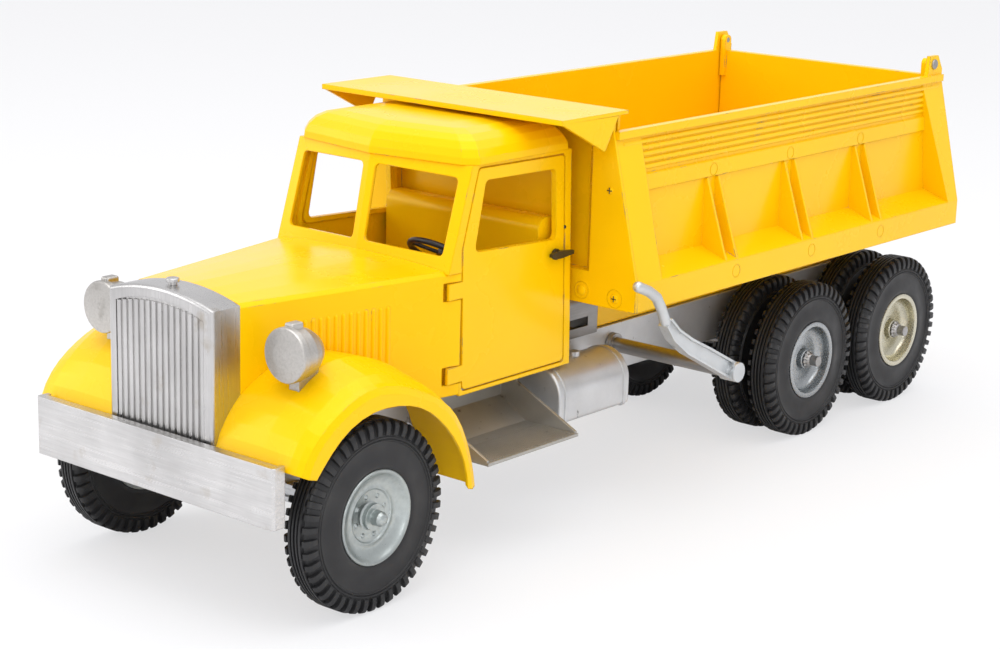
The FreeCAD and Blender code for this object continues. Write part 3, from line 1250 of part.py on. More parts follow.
def dump_lever():
    """The hand lever: a channel-section casting that runs out into a round handle."""
    x0, x1 = LEVER_X
    xm = (x0 + x1) / 2
    route = [(SHAFT_Y - ahead, SHAFT_Z + up) for ahead, up in LEVER_ROUTE]
    grip = [(SHAFT_Y - ahead, SHAFT_Z + up) for ahead, up in HANDLE_ROUTE]
    body = tapered_strip(route, LEVER_W, x0 + 1, x1 - 1)
    sunk = tapered_strip(route, [w - 2.6 for w in LEVER_W], x1 - 2.6, x1)
    boss = rod((x0, SHAFT_Y, SHAFT_Z), (x1 + 1.5, SHAFT_Y, SHAFT_Z), LEVER_BOSS_R)
    pieces = [body.cut(sunk), boss]
    for (ya, za), (yb, zb) in zip(grip, grip[1:]):
        pieces.append(rod((xm, ya, za), (xm, yb, zb), HANDLE_R))
        pieces.append(ball((xm, yb, zb), HANDLE_R))
    pieces.append(ball((xm,) + grip[0], HANDLE_R))
    lever = join(*pieces)
    return lever.cut(rod((x0 - 1, SHAFT_Y, SHAFT_Z), (x0, SHAFT_Y, SHAFT_Z), SHAFT_R))


# Rear bogie

def rocker():
    """The left rocker beam, from one rear axle to the other over the trunnion tube."""
    ya, yb = REAR_AXLE_Y
    ym = (ya + yb) / 2
    d = ROCKER_DEPTH
    z = AXLE_Z
    outline = [(ya - 7, z - 4.5), (ya + 8, z - 4.5), (ym - d, TRUNNION_Z - d),
               (ym + d, TRUNNION_Z - d), (yb - 8, z - 4.5), (yb + 7, z - 4.5), (yb + 7, z + 4),
               (yb - 6, z + 7), (ym + d, TRUNNION_Z + d), (ym - d, TRUNNION_Z + d),
               (ya + 6, z + 7), (ya - 7, z + 4)]
    x0, x1 = ROCKER_X
    beam = side_prism(outline, x0, x1)
    beam = beam.cut(rod((x0 - 1, ym, TRUNNION_Z), (x1 + 1, ym, TRUNNION_Z), TRUNNION_R + RUN))
    for y in REAR_AXLE_Y:
        beam = beam.cut(rod((x0 - 1, y, z), (x1 + 1, y, z), AXLE_R))
    return beam


def rear_axles():
    """Both rear axles, each with a collar inside the rocker beams."""
    axles = []
    for y in REAR_AXLE_Y:
        x = REAR_TYRE_X + HUB_PROUD
        shaft = rod((-x, y, AXLE_Z), (x, y, AXLE_Z), AXLE_R)
        collar = rod((ROCKER_X[0] - 2, y, AXLE_Z), (ROCKER_X[0], y, AXLE_Z), AXLE_R + 1.2)
        axles.append(join(shaft, collar, mirrored(collar)))
    return group(*axles)


def rear_hub_nuts():
    """Six-sided nuts outside the rims of the rear wheels."""
    nuts = []
    x0 = REAR_TYRE_X - 3.0
    x1 = REAR_TYRE_X + 1.4
    for y in REAR_AXLE_Y:
        corners = []
        for n in range(6):
            turn = math.radians(60 * n + 30)
            corners.append((y + NUT_R * math.cos(turn), AXLE_Z + NUT_R * math.sin(turn)))
        nut = side_prism(corners, x0, x1).cut(rod((x0 - 1, y, AXLE_Z), (x1 + 1, y, AXLE_Z), AXLE_R))
        nuts += [nut, mirrored(nut)]
    return group(*nuts)


PIECES = {}


def keep(shape, name):
    """Keep one node until the whole truck is drawn."""
    PIECES[name] = shape


def both(shape, name):
    """Keep a piece and its mirror image as the left and right nodes."""
    keep(shape, name + "_left")
    keep(mirrored(shape), name + "_right")


def export():
    """Write every node, with the origin on the floor under the middle of the truck's box."""
    whole = FreeCAD.BoundBox()
    for shape in PIECES.values():
        whole.add(shape.BoundBox)
    shift = V(-round(whole.Center.x, 3), -round(whole.Center.y, 3), 0)
    print("drawn point to origin", shift)
    for name, shape in PIECES.items():
        moved = shape.copy()
        moved.Placement = FreeCAD.Placement(shift, FreeCAD.Rotation()) * moved.Placement
        moved.exportStep("parts/" + name + ".step")
        print(name, len(moved.Solids), round(moved.Volume, 1), moved.isValid())


def main():
    os.makedirs("parts", exist_ok=True)
    both(rail(), "rail")
    keep(crossmembers(), "crossmembers")
    keep(front_axle(), "front_axle_beam")
    keep(kingpins(), "kingpins")
    both(knuckle(), "knuckle")
    keep(tie_rod(), "tie_rod")
    keep(front_springs(), "front_springs")
    both(front_hub(), "front_hub")
    tyre_shape, rim_shape = front_wheel()
    both(tyre_shape, "front_tyre")
    both(rim_shape, "front_rim")
    duals, dual_rims = dual_wheels()
    for y, name in zip(REAR_AXLE_Y, ("middle", "rear")):
        both(placed(duals, y), name + "_tyres")
        both(placed(dual_rims, y), name + "_rims")

    keep(bumper(), "bumper")
    keep(bumper_brackets(), "bumper_brackets")
    keep(grille_shell(), "grille_shell")
    keep(radiator_cap(), "radiator_cap")
    keep(hood(), "hood")
    guard = fender()
    both(guard, "fender")
    lamp = headlamp(fender_outer())
    keep(group(lamp, mirrored(lamp)), "headlights")

    keep(cab_body(), "cab_body")
    keep(cab_roof(), "cab_roof")
    keep(cab_floor(), "cab_floor")
    keep(seat(), "seat")
    keep(steering_column(), "steering_column")
    keep(steering_wheel(), "steering_wheel")
    both(door(), "door")
    both(door_handle(), "door_handle")
    keep(door_hinge_pins(), "door_hinge_pins")

    both(step(), "step")
    tank = fuel_tank()
    pads = tank_brackets()
    keep(group(tank, mirrored(tank), *pads, *[mirrored(p) for p in pads]), "fuel_tanks")
    keep(hoist_housing(), "hoist_housing")

    keep(bed_floor(), "bed_floor")
    both(bed_side(), "bed_side")
    keep(headboard(), "headboard")
    keep(tailgate(), "tailgate")
    keep(tailgate_pins(), "tailgate_pins")
    keep(body_screws(), "body_screws")
    keep(pivot_brackets(), "pivot_brackets")
    keep(pivot_shaft(), "pivot_shaft")
    keep(lift_shaft(), "lift_shaft")
    keep(dump_lever(), "dump_lever")

    beam = rocker()
    keep(group(beam, mirrored(beam)), "rocker_beams")
    keep(rear_axles(), "rear_axles")
    keep(rear_hub_nuts(), "rear_hub_nuts")
    export()


main()
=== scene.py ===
"""Looks of the push-along tipper truck: materials, finer pieces, light and the photo's view."""

import bmesh
import bpy
import json
import math
from mathutils import Matrix, Vector


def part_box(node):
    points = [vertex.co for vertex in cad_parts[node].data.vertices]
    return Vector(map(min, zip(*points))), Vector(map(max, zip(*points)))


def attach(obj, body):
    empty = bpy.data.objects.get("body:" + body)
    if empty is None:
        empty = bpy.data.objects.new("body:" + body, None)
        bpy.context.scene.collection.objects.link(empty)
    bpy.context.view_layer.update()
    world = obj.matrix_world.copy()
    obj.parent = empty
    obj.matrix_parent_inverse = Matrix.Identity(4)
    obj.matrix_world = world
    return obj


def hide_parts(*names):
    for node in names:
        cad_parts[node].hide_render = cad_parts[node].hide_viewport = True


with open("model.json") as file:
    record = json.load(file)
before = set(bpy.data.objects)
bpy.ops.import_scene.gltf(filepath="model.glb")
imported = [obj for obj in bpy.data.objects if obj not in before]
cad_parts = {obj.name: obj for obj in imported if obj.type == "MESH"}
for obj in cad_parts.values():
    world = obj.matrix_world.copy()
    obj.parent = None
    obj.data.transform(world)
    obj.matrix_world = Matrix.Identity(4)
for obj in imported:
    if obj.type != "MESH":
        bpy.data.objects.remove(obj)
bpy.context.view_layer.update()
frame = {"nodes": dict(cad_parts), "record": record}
NODES = frame["nodes"]

MM = 0.001
LOW, HIGH = (Vector(corner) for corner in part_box("kingpins"))
ORIGIN = Vector(((LOW.x + HIGH.x) / 2, (LOW.y + HIGH.y) / 2, 0.0))

# Sizes in millimetres, from the floor under the middle of the front axle
AXLE_Z = 44.5
TYRE_W = 16.0
FRONT_TYRE_X = 84.5
REAR_TYRES_X = (77.2, 52.7)
REAR_AXLES = ((370.6, "middle"), (468.6, "rear"))
RIM_DOME_CIRCLE = 9.5
RIM_WEB_DEPTH = 4.75
HEADBOARD_Y = 174.1
LIP_X = 93.9
BAND_X = 78.6
FIN_Y = (259.4, 332.6, 405.8)
COWL_X = 55.0
CAB_X = 57.0
TREAD_Z = 50.5
TREAD_EDGE_X = 79.6
TREAD_Y = (82.4, 146.4)
RIB_PITCH = 2.15
RIB_START_Y = 36.0
RIB_LENGTH = 54.0
RIB_LEAN = (-0.42, 0.907)

# How often a form repeats round a wheel or along a step
LUGS = 46
RIM_COLUMNS = 96
RIM_DOMES = 8
NUT_COLUMNS = 48
RIBS = 52

SMOOTH_ANGLE = math.radians(30.0)

# The photo's view: azimuth, elevation and roll in degrees, distance in metres,
# focal length in pixels
VIEW_ANGLES = (39.65, 14.33, 1.52)
VIEW_DISTANCE = 1.14884
VIEW_TARGET = (4.30, 178.28, 86.58)
FOCAL_PIXELS = 2198.85
PHOTO_WIDTH = 1000.0
SENSOR_WIDTH = 36.0


def at(x, y, z):
    """A point given in millimetres from the floor under the middle of the front axle."""
    return ORIGIN + Vector((x, y, z)) * MM


# Materials

class Nodes:
    """Builds one material's node tree."""

    def __init__(self, name):
        self.mat = bpy.data.materials.new(name)
        self.mat.use_nodes = True
        self.tree = self.mat.node_tree
        self.tree.nodes.clear()
        self.out = self.add("ShaderNodeOutputMaterial")
        self.coord = self.add("ShaderNodeTexCoord").outputs["Object"]

    def add(self, kind, **settings):
        node = self.tree.nodes.new(kind)
        for key, value in settings.items():
            setattr(node, key, value)
        return node

    def link(self, source, target):
        self.tree.links.new(source, target)

    def put(self, socket, value):
        """Sets a constant, or links another node's output."""
        if isinstance(value, bpy.types.NodeSocket):
            self.link(value, socket)
        elif isinstance(value, (tuple, list)) and len(value) == 3 and socket.type == "RGBA":
            socket.default_value = (*value, 1.0)
        else:
            socket.default_value = value

    def stretched(self, scale):
        """Object coordinates stretched by a scale along each axis."""
        node = self.add("ShaderNodeMapping")
        self.link(self.coord, node.inputs["Vector"])
        node.inputs["Scale"].default_value = scale
        return node.outputs["Vector"]

    def noise(self, scale, detail=3.0, rough=0.55, where=None):
        """Cloudy noise, 0 to 1, in the object's own coordinates unless others are given."""
        node = self.add("ShaderNodeTexNoise")
        self.put(node.inputs["Vector"], where or self.coord)
        self.put(node.inputs["Scale"], scale)
        self.put(node.inputs["Detail"], detail)
        self.put(node.inputs["Roughness"], rough)
        return node.outputs["Fac"]

    def ramp(self, value, low, high, to_low=0.0, to_high=1.0):
        """A value carried from one range to another and held inside it."""
        node = self.add("ShaderNodeMapRange")
        node.clamp = True
        self.put(node.inputs["Value"], value)
        self.put(node.inputs["From Min"], low)
        self.put(node.inputs["From Max"], high)
        self.put(node.inputs["To Min"], to_low)
        self.put(node.inputs["To Max"], to_high)
        return node.outputs["Result"]

    def math(self, what, a, b=0.0, clamp=False):
        node = self.add("ShaderNodeMath", operation=what, use_clamp=clamp)
        self.put(node.inputs[0], a)
        self.put(node.inputs[1], b)
        return node.outputs[0]

    def mix(self, share, a, b):
        """A colour between two others."""
        node = self.add("ShaderNodeMix", data_type="RGBA")
        self.put(node.inputs[0], share)
        self.put(node.inputs[6], a)
        self.put(node.inputs[7], b)
        return node.outputs[2]

    def blend(self, share, a, b):
        """A number between two others."""
        node = self.add("ShaderNodeMix", data_type="FLOAT")
        self.put(node.inputs[0], share)
        self.put(node.inputs[2], a)
        self.put(node.inputs[3], b)
        return node.outputs[0]

    def bump(self, height, strength, distance, normal=None):
        """A normal tilted by a height, on top of another normal when one is given."""
        node = self.add("ShaderNodeBump")
        self.put(node.inputs["Height"], height)
        self.put(node.inputs["Strength"], strength)
        self.put(node.inputs["Distance"], distance)
        if normal is not None:
            self.link(normal, node.inputs["Normal"])
        return node.outputs["Normal"]

    def soft_edge(self, radius):
        """The normal as if the edges were rounded."""
        node = self.add("ShaderNodeBevel")
        node.samples = 4
        self.put(node.inputs["Radius"], radius)
        return node.outputs["Normal"]

    def edge_mask(self, normal):
        """Near 1 where the rounded normal differs from the surface's own."""
        geometry = self.add("ShaderNodeNewGeometry")
        dot = self.add("ShaderNodeVectorMath", operation="DOT_PRODUCT")
        self.link(normal, dot.inputs[0])
        self.link(geometry.outputs["Normal"], dot.inputs[1])
        return self.ramp(dot.outputs["Value"], 0.995, 0.90)

    def surface(self, color, rough, metallic=0.0, normal=None, coat=0.0, specular=0.5):
        """Closes the tree with one surface and gives back its shader node."""
        node = self.add("ShaderNodeBsdfPrincipled")
        self.put(node.inputs["Base Color"], color)
        self.put(node.inputs["Roughness"], rough)
        self.put(node.inputs["Metallic"], metallic)
        self.put(node.inputs["Coat Weight"], coat)
        self.put(node.inputs["Coat Roughness"], 0.08)
        self.put(node.inputs["Specular IOR Level"], specular)
        if normal is not None:
            self.link(normal, node.inputs["Normal"])
        self.link(node.outputs["BSDF"], self.out.inputs["Surface"])
        return node


def enamel(name, color, dark):
    """Glossy baked enamel with worn edges and a few chips."""
    n = Nodes(name)
    round_normal = n.soft_edge(0.9 * MM)
    edge = n.edge_mask(round_normal)
    patches = n.noise(60.0, 4.0)
    worn = n.math("MULTIPLY", edge, n.ramp(patches, 0.60, 0.68))
    spots = n.ramp(n.noise(230.0, 2.0), 0.775, 0.80)
    sparse = n.math("MULTIPLY", spots, n.ramp(n.noise(14.0, 1.0), 0.56, 0.62))
    chips = n.math("MAXIMUM", worn, sparse, clamp=True)
    paint = n.mix(n.ramp(n.noise(7.0, 4.0), 0.35, 0.7), color, dark)
    tone = n.mix(chips, paint, (0.20, 0.17, 0.12))
    rough = n.ramp(n.noise(18.0, 5.0), 0.3, 0.75, 0.20, 0.34)
    rough = n.blend(chips, rough, 0.6)
    peel = n.bump(n.noise(420.0, 2.0), 0.03, 0.3 * MM, round_normal)
    shader = n.surface(tone, rough, 0.0, peel, 0.05)
    n.put(shader.inputs["Specular Tint"], (1.0, 0.78, 0.10))
    return n.mat


def bare_metal(name, color, rough, along=None, grain=0.03, stain=None, fine=900.0):
    """Bare metal: brushed along an axis, or grainy when no axis is given."""
    n = Nodes(name)
    normal = n.soft_edge(0.5 * MM)
    scale = {None: (1, 1, 1), "x": (0.03, 1, 1), "y": (1, 0.03, 1), "z": (1, 1, 0.03)}[along]
    lines = n.noise(fine, 4.0, 0.65, n.stretched(scale))
    cloud = n.noise(22.0, 5.0)
    tone = n.mix(n.ramp(cloud, 0.35, 0.7), color, tuple(c * 0.74 for c in color))
    tone = n.mix(n.ramp(lines, 0.40, 0.72, 0.0, 0.30), tone, tuple(c * 0.55 for c in color))
    if stain:
        spots = n.ramp(n.noise(48.0, 6.0), 0.60, 0.72, 0.0, 0.65)
        tone = n.mix(spots, tone, stain)
    spread = n.ramp(lines, 0.3, 0.7, rough * 0.75, rough * 1.35)
    bumps = n.bump(lines, 1.0, grain * MM, normal)
    n.surface(tone, spread, 1.0, bumps)
    return n.mat


def metal_paint(name, color, rough=0.42, metallic=0.75):
    """Silver paint with soft clouds and a fine grain."""
    n = Nodes(name)
    normal = n.soft_edge(0.6 * MM)
    cloud = n.ramp(n.noise(30.0, 5.0), 0.35, 0.7)
    tone = n.mix(cloud, color, tuple(c * 0.80 for c in color))
    tone = n.mix(n.ramp(n.noise(160.0, 4.0), 0.66, 0.76), tone, (0.12, 0.115, 0.11))
    grain = n.noise(1500.0, 2.0)
    n.surface(tone, n.ramp(grain, 0.3, 0.7, rough * 0.85, rough * 1.2), metallic,
              n.bump(grain, 0.4, 0.02 * MM, normal))
    return n.mat


def rubber(name):
    """Moulded black rubber, a little dusty in random patches."""
    n = Nodes(name)
    normal = n.soft_edge(0.4 * MM)
    dust = n.ramp(n.noise(40.0, 5.0), 0.45, 0.75, 0.0, 0.5)
    tone = n.mix(dust, (0.013, 0.013, 0.014), (0.034, 0.034, 0.033))
    rough = n.ramp(n.noise(90.0, 4.0), 0.3, 0.7, 0.38, 0.55)
    n.surface(tone, rough, 0.0, n.bump(n.noise(900.0, 3.0), 0.25, 0.05 * MM, normal),
              specular=0.38)
    return n.mat


def plastic(name, color):
    """Smooth dark plastic."""
    n = Nodes(name)
    tone = n.mix(n.ramp(n.noise(50.0, 4.0), 0.4, 0.7), color, tuple(c * 1.6 for c in color))
    n.surface(tone, n.ramp(n.noise(120.0, 3.0), 0.3, 0.7, 0.28, 0.42), 0.0,
              n.soft_edge(0.3 * MM))
    return n.mat


YELLOW = (0.93, 0.555, 0.0015)
YELLOW_DARK = (0.90, 0.515, 0.0012)

LOOKS = {
    "body_yellow": enamel("body_yellow", YELLOW, YELLOW_DARK),
    "grille_metal": bare_metal("grille_metal", (0.60, 0.59, 0.58), 0.30, "z", 0.02,
                               (0.30, 0.24, 0.16)),
    "bumper_metal": bare_metal("bumper_metal", (0.66, 0.65, 0.64), 0.30, "x", 0.02,
                               (0.42, 0.38, 0.32)),
    "lamp_metal": bare_metal("lamp_metal", (0.54, 0.52, 0.49), 0.38, None, 0.12,
                             (0.22, 0.20, 0.17)),
    "chassis_silver": metal_paint("chassis_silver", (0.66, 0.67, 0.68)),
    "lever_silver": metal_paint("lever_silver", (0.60, 0.62, 0.63), 0.36),
    "hoist_metal": bare_metal("hoist_metal", (0.32, 0.31, 0.30), 0.36, "y", 0.03),
    "step_grey": metal_paint("step_grey", (0.43, 0.42, 0.39), 0.40, 0.7),
    "tyre_black": rubber("tyre_black"),
    "front_rim_metal": bare_metal("front_rim_metal", (0.46, 0.50, 0.49), 0.34, None, 0.05,
                                  (0.30, 0.32, 0.30), fine=420.0),
    "middle_rim_metal": bare_metal("middle_rim_metal", (0.44, 0.46, 0.47), 0.25, None, 0.02),
    "rear_rim_metal": bare_metal("rear_rim_metal", (0.60, 0.57, 0.45), 0.25, None, 0.02),
    "steel": bare_metal("steel", (0.42, 0.41, 0.40), 0.38, "x", 0.03),
    "dark_steel": bare_metal("dark_steel", (0.10, 0.10, 0.10), 0.40, None, 0.03),
    "black_plastic": plastic("black_plastic", (0.015, 0.015, 0.016)),
}

SLOT_OF = {entry["node"]: entry["material_slot"] for entry in frame["record"]["subparts"]}


def dress(obj, slot):
    """Gives a mesh its finish and smooths its gentle edges."""
    mesh = obj.data
    mesh.materials.clear()
    mesh.materials.append(LOOKS[slot])
    for polygon in mesh.polygons:
        polygon.use_smooth = True
    mesh.set_sharp_from_angle(angle=SMOOTH_ANGLE)


for node_name, node in NODES.items():
    dress(node, SLOT_OF[node_name])


def stand(name, data):
    """Puts an object with this data in the scene."""
    obj = bpy.data.objects.new(name, data)
    bpy.context.scene.collection.objects.link(obj)
    return obj


# Finer pieces

def piece(name, form, slot, body, *replaced):
    """A form's mesh, dressed, fixed to a body and standing for some CAD nodes."""
    mesh = bpy.data.meshes.new(name)
    mesh.from_pydata([at(*p) for p in form.points], [], form.faces)
    facing = bmesh.new()
    facing.from_mesh(mesh)
    bmesh.ops.recalc_face_normals(facing, faces=facing.faces)
    facing.to_mesh(mesh)
    facing.free()
    obj = stand(name, mesh)
    dress(obj, slot)
    if replaced:
        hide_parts(*replaced)
    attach(obj, body)


class Form:
    """Collects points and faces of one mesh."""

    def __init__(self):
        self.points = []
        self.faces = []

    def turned(self, columns, x_out, side, y):
        """A closed ring from (angle, [(depth, radius), ...]) columns about an axle's line."""
        first = len(self.points)
        rows = len(columns[0][1])
        for angle, profile in columns:
            c, s = math.cos(angle), math.sin(angle)
            for depth, radius in profile:
                self.points.append((side * (x_out - depth), y + radius * c, AXLE_Z + radius * s))
        count = len(columns)
        for i in range(count):
            a, b = first + i * rows, first + (i + 1) % count * rows
            for j in range(rows):
                k = (j + 1) % rows
                self.faces.append((a + j, a + k, b + k, b + j))

    def dome(self, centre, axis, radius, height, sides=12, rings=3):
        """A low dome standing on a surface; axis is the surface's normal."""
        axis = Vector(axis).normalized()
        centre = Vector(centre)
        across = axis.orthogonal().normalized()
        other = axis.cross(across)
        first = len(self.points)
        self.points.append(tuple(centre + axis * height))
        for n in range(1, rings + 1):
            turn = math.pi / 2 * n / rings
            ring = centre + axis * height * math.cos(turn)
            for k in range(sides):
                spin = 2 * math.pi * k / sides
                spoke = across * math.cos(spin) + other * math.sin(spin)
                self.points.append(tuple(ring + spoke * radius * math.sin(turn)))
        self.points += [tuple(Vector(p) - axis * 0.4) for p in self.points[-sides:]]
        for k in range(sides):
            self.faces.append((first, first + 1 + k, first + 1 + (k + 1) % sides))
        for n in range(rings):
            a = first + 1 + n * sides
            for k in range(sides):
                m = (k + 1) % sides
                self.faces.append((a + k, a + sides + k, a + sides + m, a + m))
        last = first + 1 + rings * sides
        self.faces.append(tuple(range(last, last + sides)))

    def ring(self, centre, axis, radius, tube, sides=28):
        """A thin raised circle half sunk in a surface."""
        axis = Vector(axis).normalized()
        across = axis.orthogonal().normalized()
        other = axis.cross(across)
        first = len(self.points)
        for n in range(sides):
            turn = 2 * math.pi * n / sides
            spoke = across * math.cos(turn) + other * math.sin(turn)
            for k in range(6):
                bend = 2 * math.pi * k / 6
                self.points.append(tuple(Vector(centre) + spoke * (radius + tube * math.cos(bend))
                                         + axis * tube * math.sin(bend)))
        for n in range(sides):
            a, b = first + n * 6, first + (n + 1) % sides * 6
            for k in range(6):
                m = (k + 1) % 6
                self.faces.append((a + k, a + m, b + m, b + k))

    def prism(self, corners, ends):
        """A bar whose section, a ring of (x, y, z) offsets, sits at both of two points."""
        first = len(self.points)
        for end in ends:
            self.points += [tuple(Vector(end) + Vector(c)) for c in corners]
        count = len(corners)
        for k in range(count):
            m = (k + 1) % count
            self.faces.append((first + k, first + m, first + count + m, first + count + k))
        self.faces.append(tuple(range(first, first + count)))
        self.faces.append(tuple(range(first + count, first + 2 * count)))


def rim_columns(profile):
    """The same section at every angle."""
    return [(2 * math.pi * n / RIM_COLUMNS, profile) for n in range(RIM_COLUMNS)]


# Sections of tyres and rims: (depth from the tyre's outer face, radius)
SIDEWALL = [(1.2, 20.4), (1.2, 22.1), (0.75, 22.3), (0.30, 23.4), (0.25, 24.6), (0.75, 27.5),
            (1.15, 30.5), (1.20, 33.2), (0.95, 34.6), (0.40, 34.9), (0.35, 35.3), (0.80, 35.6),
            (0.85, 35.9), (0.30, 36.2), (0.25, 36.7), (0.75, 37.0), (0.80, 37.4)]
LUG = [(0.15, 37.7), (0.0, 39.9), (0.3, 42.0), (0.9, 43.4), (1.8, 44.2), (3.1, 44.5)]
NOTCH = [(0.95, 37.6), (1.5, 39.3), (1.9, 40.9), (2.4, 42.0), (2.9, 42.6), (3.3, 42.9)]
TREAD = [(3.4, 43.0), (4.1, 43.0), (4.3, 44.5), (5.5, 44.5), (5.7, 43.0), (6.3, 43.0), (6.5, 44.5),
         (7.4, 44.5), (7.6, 43.0)]


def tyre_columns():
    """The tyre's section at each angle: shoulder lugs with notches between them."""
    mirror = [(TYRE_W - d, r) for d, r in reversed(TREAD)]
    sections = []
    for shoulder in (NOTCH, LUG):
        side = SIDEWALL + shoulder
        sections.append(side + TREAD + mirror + [(TYRE_W - d, r) for d, r in reversed(side)])
    columns = []
    for n in range(LUGS):
        for share, lug in ((0.0, 0), (0.05, 1), (0.28, 1), (0.51, 1), (0.56, 0), (0.78, 0)):
            columns.append((2 * math.pi * (n + share) / LUGS, sections[lug]))
    return columns


FRONT_RIM = [(14.8, 20.4), (14.8, 22.1), (16.0, 22.1), (16.0, 19.1), (7.0, 19.1), (6.4, 17.2),
             (6.3, 5.5), (15.6, 5.5), (15.6, 3.05), (2.6, 3.05), (2.6, 4.8), (2.9, 5.4), (4.2, 5.8),
             (4.7, 6.5), (4.8, 7.6), (4.7, 11.6), (4.5, 12.1), (3.9, 12.5), (3.7, 12.9), (3.8, 13.4),
             (4.1, 14.2), (3.9, 15.6), (2.9, 17.8), (1.7, 19.3), (0.9, 20.1), (0.25, 20.7),
             (0.0, 21.3), (0.15, 21.9), (0.6, 22.2), (1.2, 22.1), (1.2, 20.4)]


def rear_rim(hub_out, hub_in):
    """Section of a rear rim: flat lip, deep dish and a hub between two depths."""
    return [(14.8, 20.4), (14.8, 22.1), (16.0, 22.1), (16.0, 19.1), (10.3, 19.1), (9.4, 17.6),
            (9.3, 5.5), (hub_in, 5.5), (hub_in, 3.05), (hub_out, 3.05), (hub_out, 5.0),
            (hub_out + 0.5, 5.5), (7.0, 5.7), (7.8, 6.6), (8.1, 8.0), (8.1, 13.2), (7.8, 15.4),
            (6.9, 17.2), (5.4, 18.3), (3.4, 18.8), (1.0, 19.1), (0.35, 19.3), (0.05, 19.7),
            (0.0, 20.2), (0.0, 21.6), (0.2, 22.0), (0.6, 22.15), (1.2, 22.1), (1.2, 20.4)]


def wheels():
    """Tyres with shoulder lugs and pressed rims."""
    tread = tyre_columns()
    outer_x, inner_x = REAR_TYRES_X
    for side, hand in ((1, "left"), (-1, "right")):
        form = Form()
        form.turned(tread, FRONT_TYRE_X, side, 0.0)
        piece("front_tyre_" + hand + "_moulded", form, "tyre_black",
              "front_wheel_" + hand, "front_tyre_" + hand)
        form = Form()
        form.turned(rim_columns(FRONT_RIM), FRONT_TYRE_X, side, 0.0)
        for n in range(RIM_DOMES):
            turn = 2 * math.pi * (n + 0.35) / RIM_DOMES
            centre = (side * (FRONT_TYRE_X - RIM_WEB_DEPTH), RIM_DOME_CIRCLE * math.cos(turn),
                      AXLE_Z + RIM_DOME_CIRCLE * math.sin(turn))
            form.dome(centre, (side, 0, 0), 1.1, 0.8)
        piece("front_rim_" + hand + "_pressed", form, "front_rim_metal",
              "front_wheel_" + hand, "front_rim_" + hand)
        for y, name in REAR_AXLES:
            form = Form()
            form.turned(tread, outer_x, side, y)
            form.turned(tread, inner_x, side, y)
            piece(name + "_tyres_" + hand + "_moulded", form, "tyre_black",
                  name + "_wheels_" + hand, name + "_tyres_" + hand)
            form = Form()
            form.turned(rim_columns(rear_rim(3.4, 20.25)), outer_x, side, y)
            form.turned(rim_columns(rear_rim(-4.25, 15.2)), inner_x, side, y)
            piece(name + "_rims_" + hand + "_pressed", form, name + "_rim_metal",
                  name + "_wheels_" + hand, name + "_rims_" + hand)


def push_nuts():
    """Toothed spring nuts on the rear axles' ends."""
    columns = []
    for n in range(NUT_COLUMNS):
        out = 5.2 if n % 4 in (1, 2) else 4.5
        columns.append((2 * math.pi * n / NUT_COLUMNS, [
            (3.0, 3.0), (3.0, out), (2.4, out), (1.9, out - 0.5), (0.9, 3.9), (0.2, 3.6),
            (-0.3, 3.0)]))
    form = Form()
    for side in (1, -1):
        for y, _ in REAR_AXLES:
            form.turned(columns, REAR_TYRES_X[0], side, y)
    piece("rear_hub_nuts_toothed", form, "steel", "bogie", "rear_hub_nuts")


# Screw heads: ((x, z), radius, crossed), and the raised circles: (x, z, radius)
SCREWS = (((81.0, 114.5), 2.6, True), ((60.2, 115.5), 2.8, False), ((76.0, 168.5), 1.9, True))
CIRCLES = ((81.0, 114.5, 4.6), (60.2, 115.5, 4.4))


def screws():
    """Yellow-painted screw heads on the headboard's flanges and apron, each cross recess drawn as a
    dark raised cross of painted shade.
    """
    heads, recess_shade = Form(), Form()
    front = (0, -1, 0)
    for side in (1, -1):
        for (x, z), radius, crossed in SCREWS:
            x *= side
            heads.dome((x, HEADBOARD_Y, z), front, radius, 0.9, 24, 5)
            if not crossed:
                continue
            # A dark raised cross stands in for the shade inside each cross recess: painted shade,
            # not a real dark part.
            for dx, dz in ((1.5, 0.28), (0.28, 1.5)):
                section = [(-dx, 0, -dz), (dx, 0, -dz), (dx, 0, dz), (-dx, 0, dz)]
                recess_shade.prism(section, ((x, HEADBOARD_Y - 0.6, z), (x, HEADBOARD_Y - 0.95, z)))
        for x, z, radius in CIRCLES:
            heads.ring((x * side, HEADBOARD_Y, z), front, radius, 0.22)
    piece("body_screws_painted", heads, "body_yellow", "bed", "body_screws")
    # Dark crosses in dark steel: painted shade of the screws' cross recesses.
    piece("body_screw_recess_shade", recess_shade, "dark_steel", "bed")


def spot_welds():
    """Faint circles where the fins are welded to the band and the lip, and the cab's rivets."""
    welds, rivets = Form(), Form()
    for side in (1, -1):
        out = (side, 0, 0)
        for y in FIN_Y:
            welds.ring((LIP_X * side, y + 3.0, 117.0), out, 3.4, 0.22)
            welds.ring((BAND_X * side, y, 169.2), out, 3.2, 0.25)
        rivets.dome((COWL_X * side, 79.8, 103.1), out, 0.9, 0.6)
        rivets.dome((COWL_X * side, 79.8, 119.5), out, 0.9, 0.6)
        rivets.dome((CAB_X * side, 163.1, 148.9), out, 0.9, 0.5)
    piece("bed_spot_welds", welds, "body_yellow", "bed")
    piece("cab_rivets", rivets, "dark_steel", "chassis")


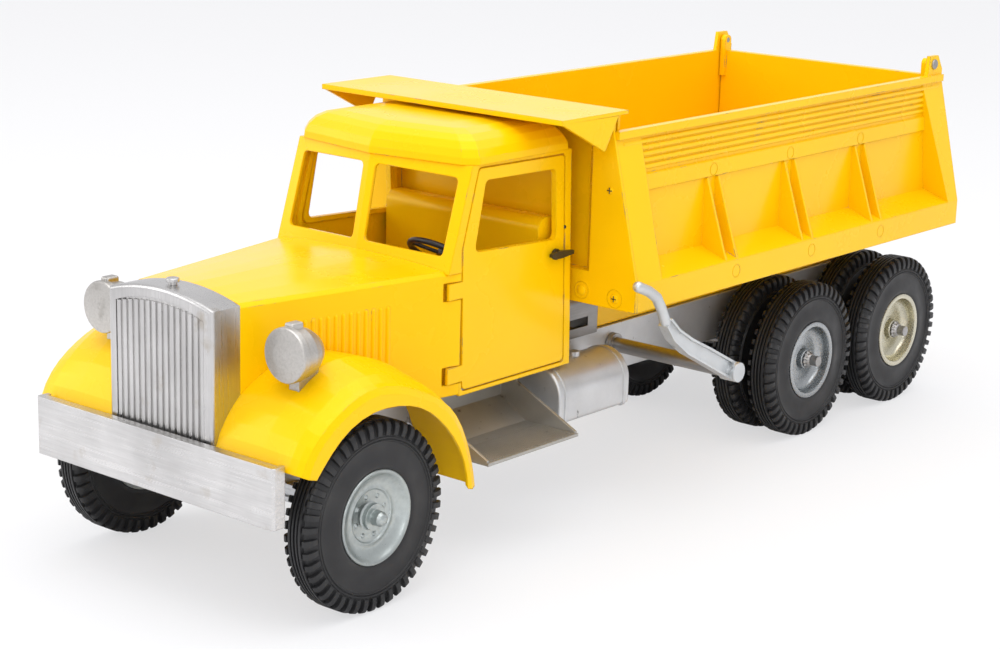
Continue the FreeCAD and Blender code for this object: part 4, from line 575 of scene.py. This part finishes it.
def step_ribs():
    """Slanting ribs on the treads of both steps."""
    form = Form()
    lean_x, lean_y = RIB_LEAN
    front, back = TREAD_Y
    section = [(-0.42, 0, -0.1), (0.42, 0, -0.1), (0.12, 0, 0.42), (-0.12, 0, 0.42)]
    for side in (1, -1):
        for n in range(RIBS):
            xa, ya = TREAD_EDGE_X, RIB_START_Y + RIB_PITCH * n
            xb, yb = xa + lean_x * RIB_LENGTH, ya + lean_y * RIB_LENGTH
            if ya < front:
                xa, ya = xa + lean_x / lean_y * (front - ya), front
            if yb > back:
                xb, yb = xb - lean_x / lean_y * (yb - back), back
            if yb - ya >= 1.0:
                form.prism(section, ((xa * side, ya, TREAD_Z), (xb * side, yb, TREAD_Z)))
    piece("step_ribs", form, "step_grey", "chassis")


wheels()
push_nuts()
screws()
spot_welds()
step_ribs()


# Light, floor and view

def lamp(name, place, target, size, power):
    """A white area lamp aimed at a point; its power is in watts."""
    light = bpy.data.lights.new(name, "AREA")
    light.shape = "RECTANGLE"
    light.size, light.size_y = size
    light.energy = power
    obj = stand(name, light)
    direction = Vector(target) - Vector(place)
    obj.rotation_euler = direction.to_track_quat("-Z", "Y").to_euler()
    obj.location = place


def studio():
    """Three large lamps and a pale surround."""
    lamp("overhead", (0.2, -0.1, 1.5), (0.0, 0.0, 0.0), (1.8, 1.8), 17.0)
    lamp("front_fill", (1.3, -1.7, 0.9), (0.0, -0.1, 0.1), (1.2, 1.0), 8.5)
    lamp("left_fill", (-1.4, -1.2, 0.9), (0.0, -0.1, 0.1), (1.0, 1.0), 7.0)
    world = bpy.data.worlds.new("studio")
    bpy.context.scene.world = world
    world.use_nodes = True
    background = world.node_tree.nodes["Background"]
    background.inputs["Color"].default_value = (0.97, 0.97, 1.0, 1.0)
    background.inputs["Strength"].default_value = 0.9


def floor():
    """A pale floor; the camera sees it lit evenly, with soft shadows."""
    mesh = bpy.data.meshes.new("floor")
    half = 6.0
    mesh.from_pydata([(-half, -half, 0), (half, -half, 0), (half, half, 0), (-half, half, 0)], [],
                     [(0, 1, 2, 3)])
    obj = stand("floor", mesh)
    n = Nodes("floor_white")
    tone = n.mix(n.ramp(n.noise(1.5, 2.0), 0.3, 0.7), (0.86, 0.86, 0.87), (0.84, 0.84, 0.85))
    shader = n.surface(tone, 0.9, specular=0.1)
    n.put(shader.inputs["Emission Color"], (0.985, 0.985, 1.0))
    seen = n.add("ShaderNodeLightPath").outputs["Is Camera Ray"]
    n.put(shader.inputs["Emission Strength"], n.math("MULTIPLY", seen, 0.62))
    n.put(shader.inputs["Base Color"], n.mix(seen, tone, (0.30, 0.30, 0.30)))
    mesh.materials.append(n.mat)


def camera_axes():
    """The camera's right, up and back directions, and its place."""
    azimuth, elevation, roll = (math.radians(a) for a in VIEW_ANGLES)
    back = Vector((math.sin(azimuth) * math.cos(elevation),
                   -math.cos(azimuth) * math.cos(elevation), math.sin(elevation)))
    right = Vector((math.cos(azimuth), math.sin(azimuth), 0.0))
    up = back.cross(right)
    c, s = math.cos(roll), math.sin(roll)
    right, up = right * c + up * s, up * c - right * s
    return right, up, back, at(*VIEW_TARGET) + back * VIEW_DISTANCE


def camera():
    """The camera that took the photo, as fitted to it."""
    right, up, back, place = camera_axes()
    data = bpy.data.cameras.new("camera")
    data.sensor_width = SENSOR_WIDTH
    data.lens = FOCAL_PIXELS * SENSOR_WIDTH / PHOTO_WIDTH
    data.clip_end = 20.0
    obj = stand("camera", data)
    turn = Matrix((right, up, back)).transposed().to_4x4()
    obj.matrix_world = Matrix.Translation(place) @ turn
    bpy.context.scene.camera = obj


studio()
floor()
camera()
bpy.context.scene.view_settings.view_transform = "Standard"
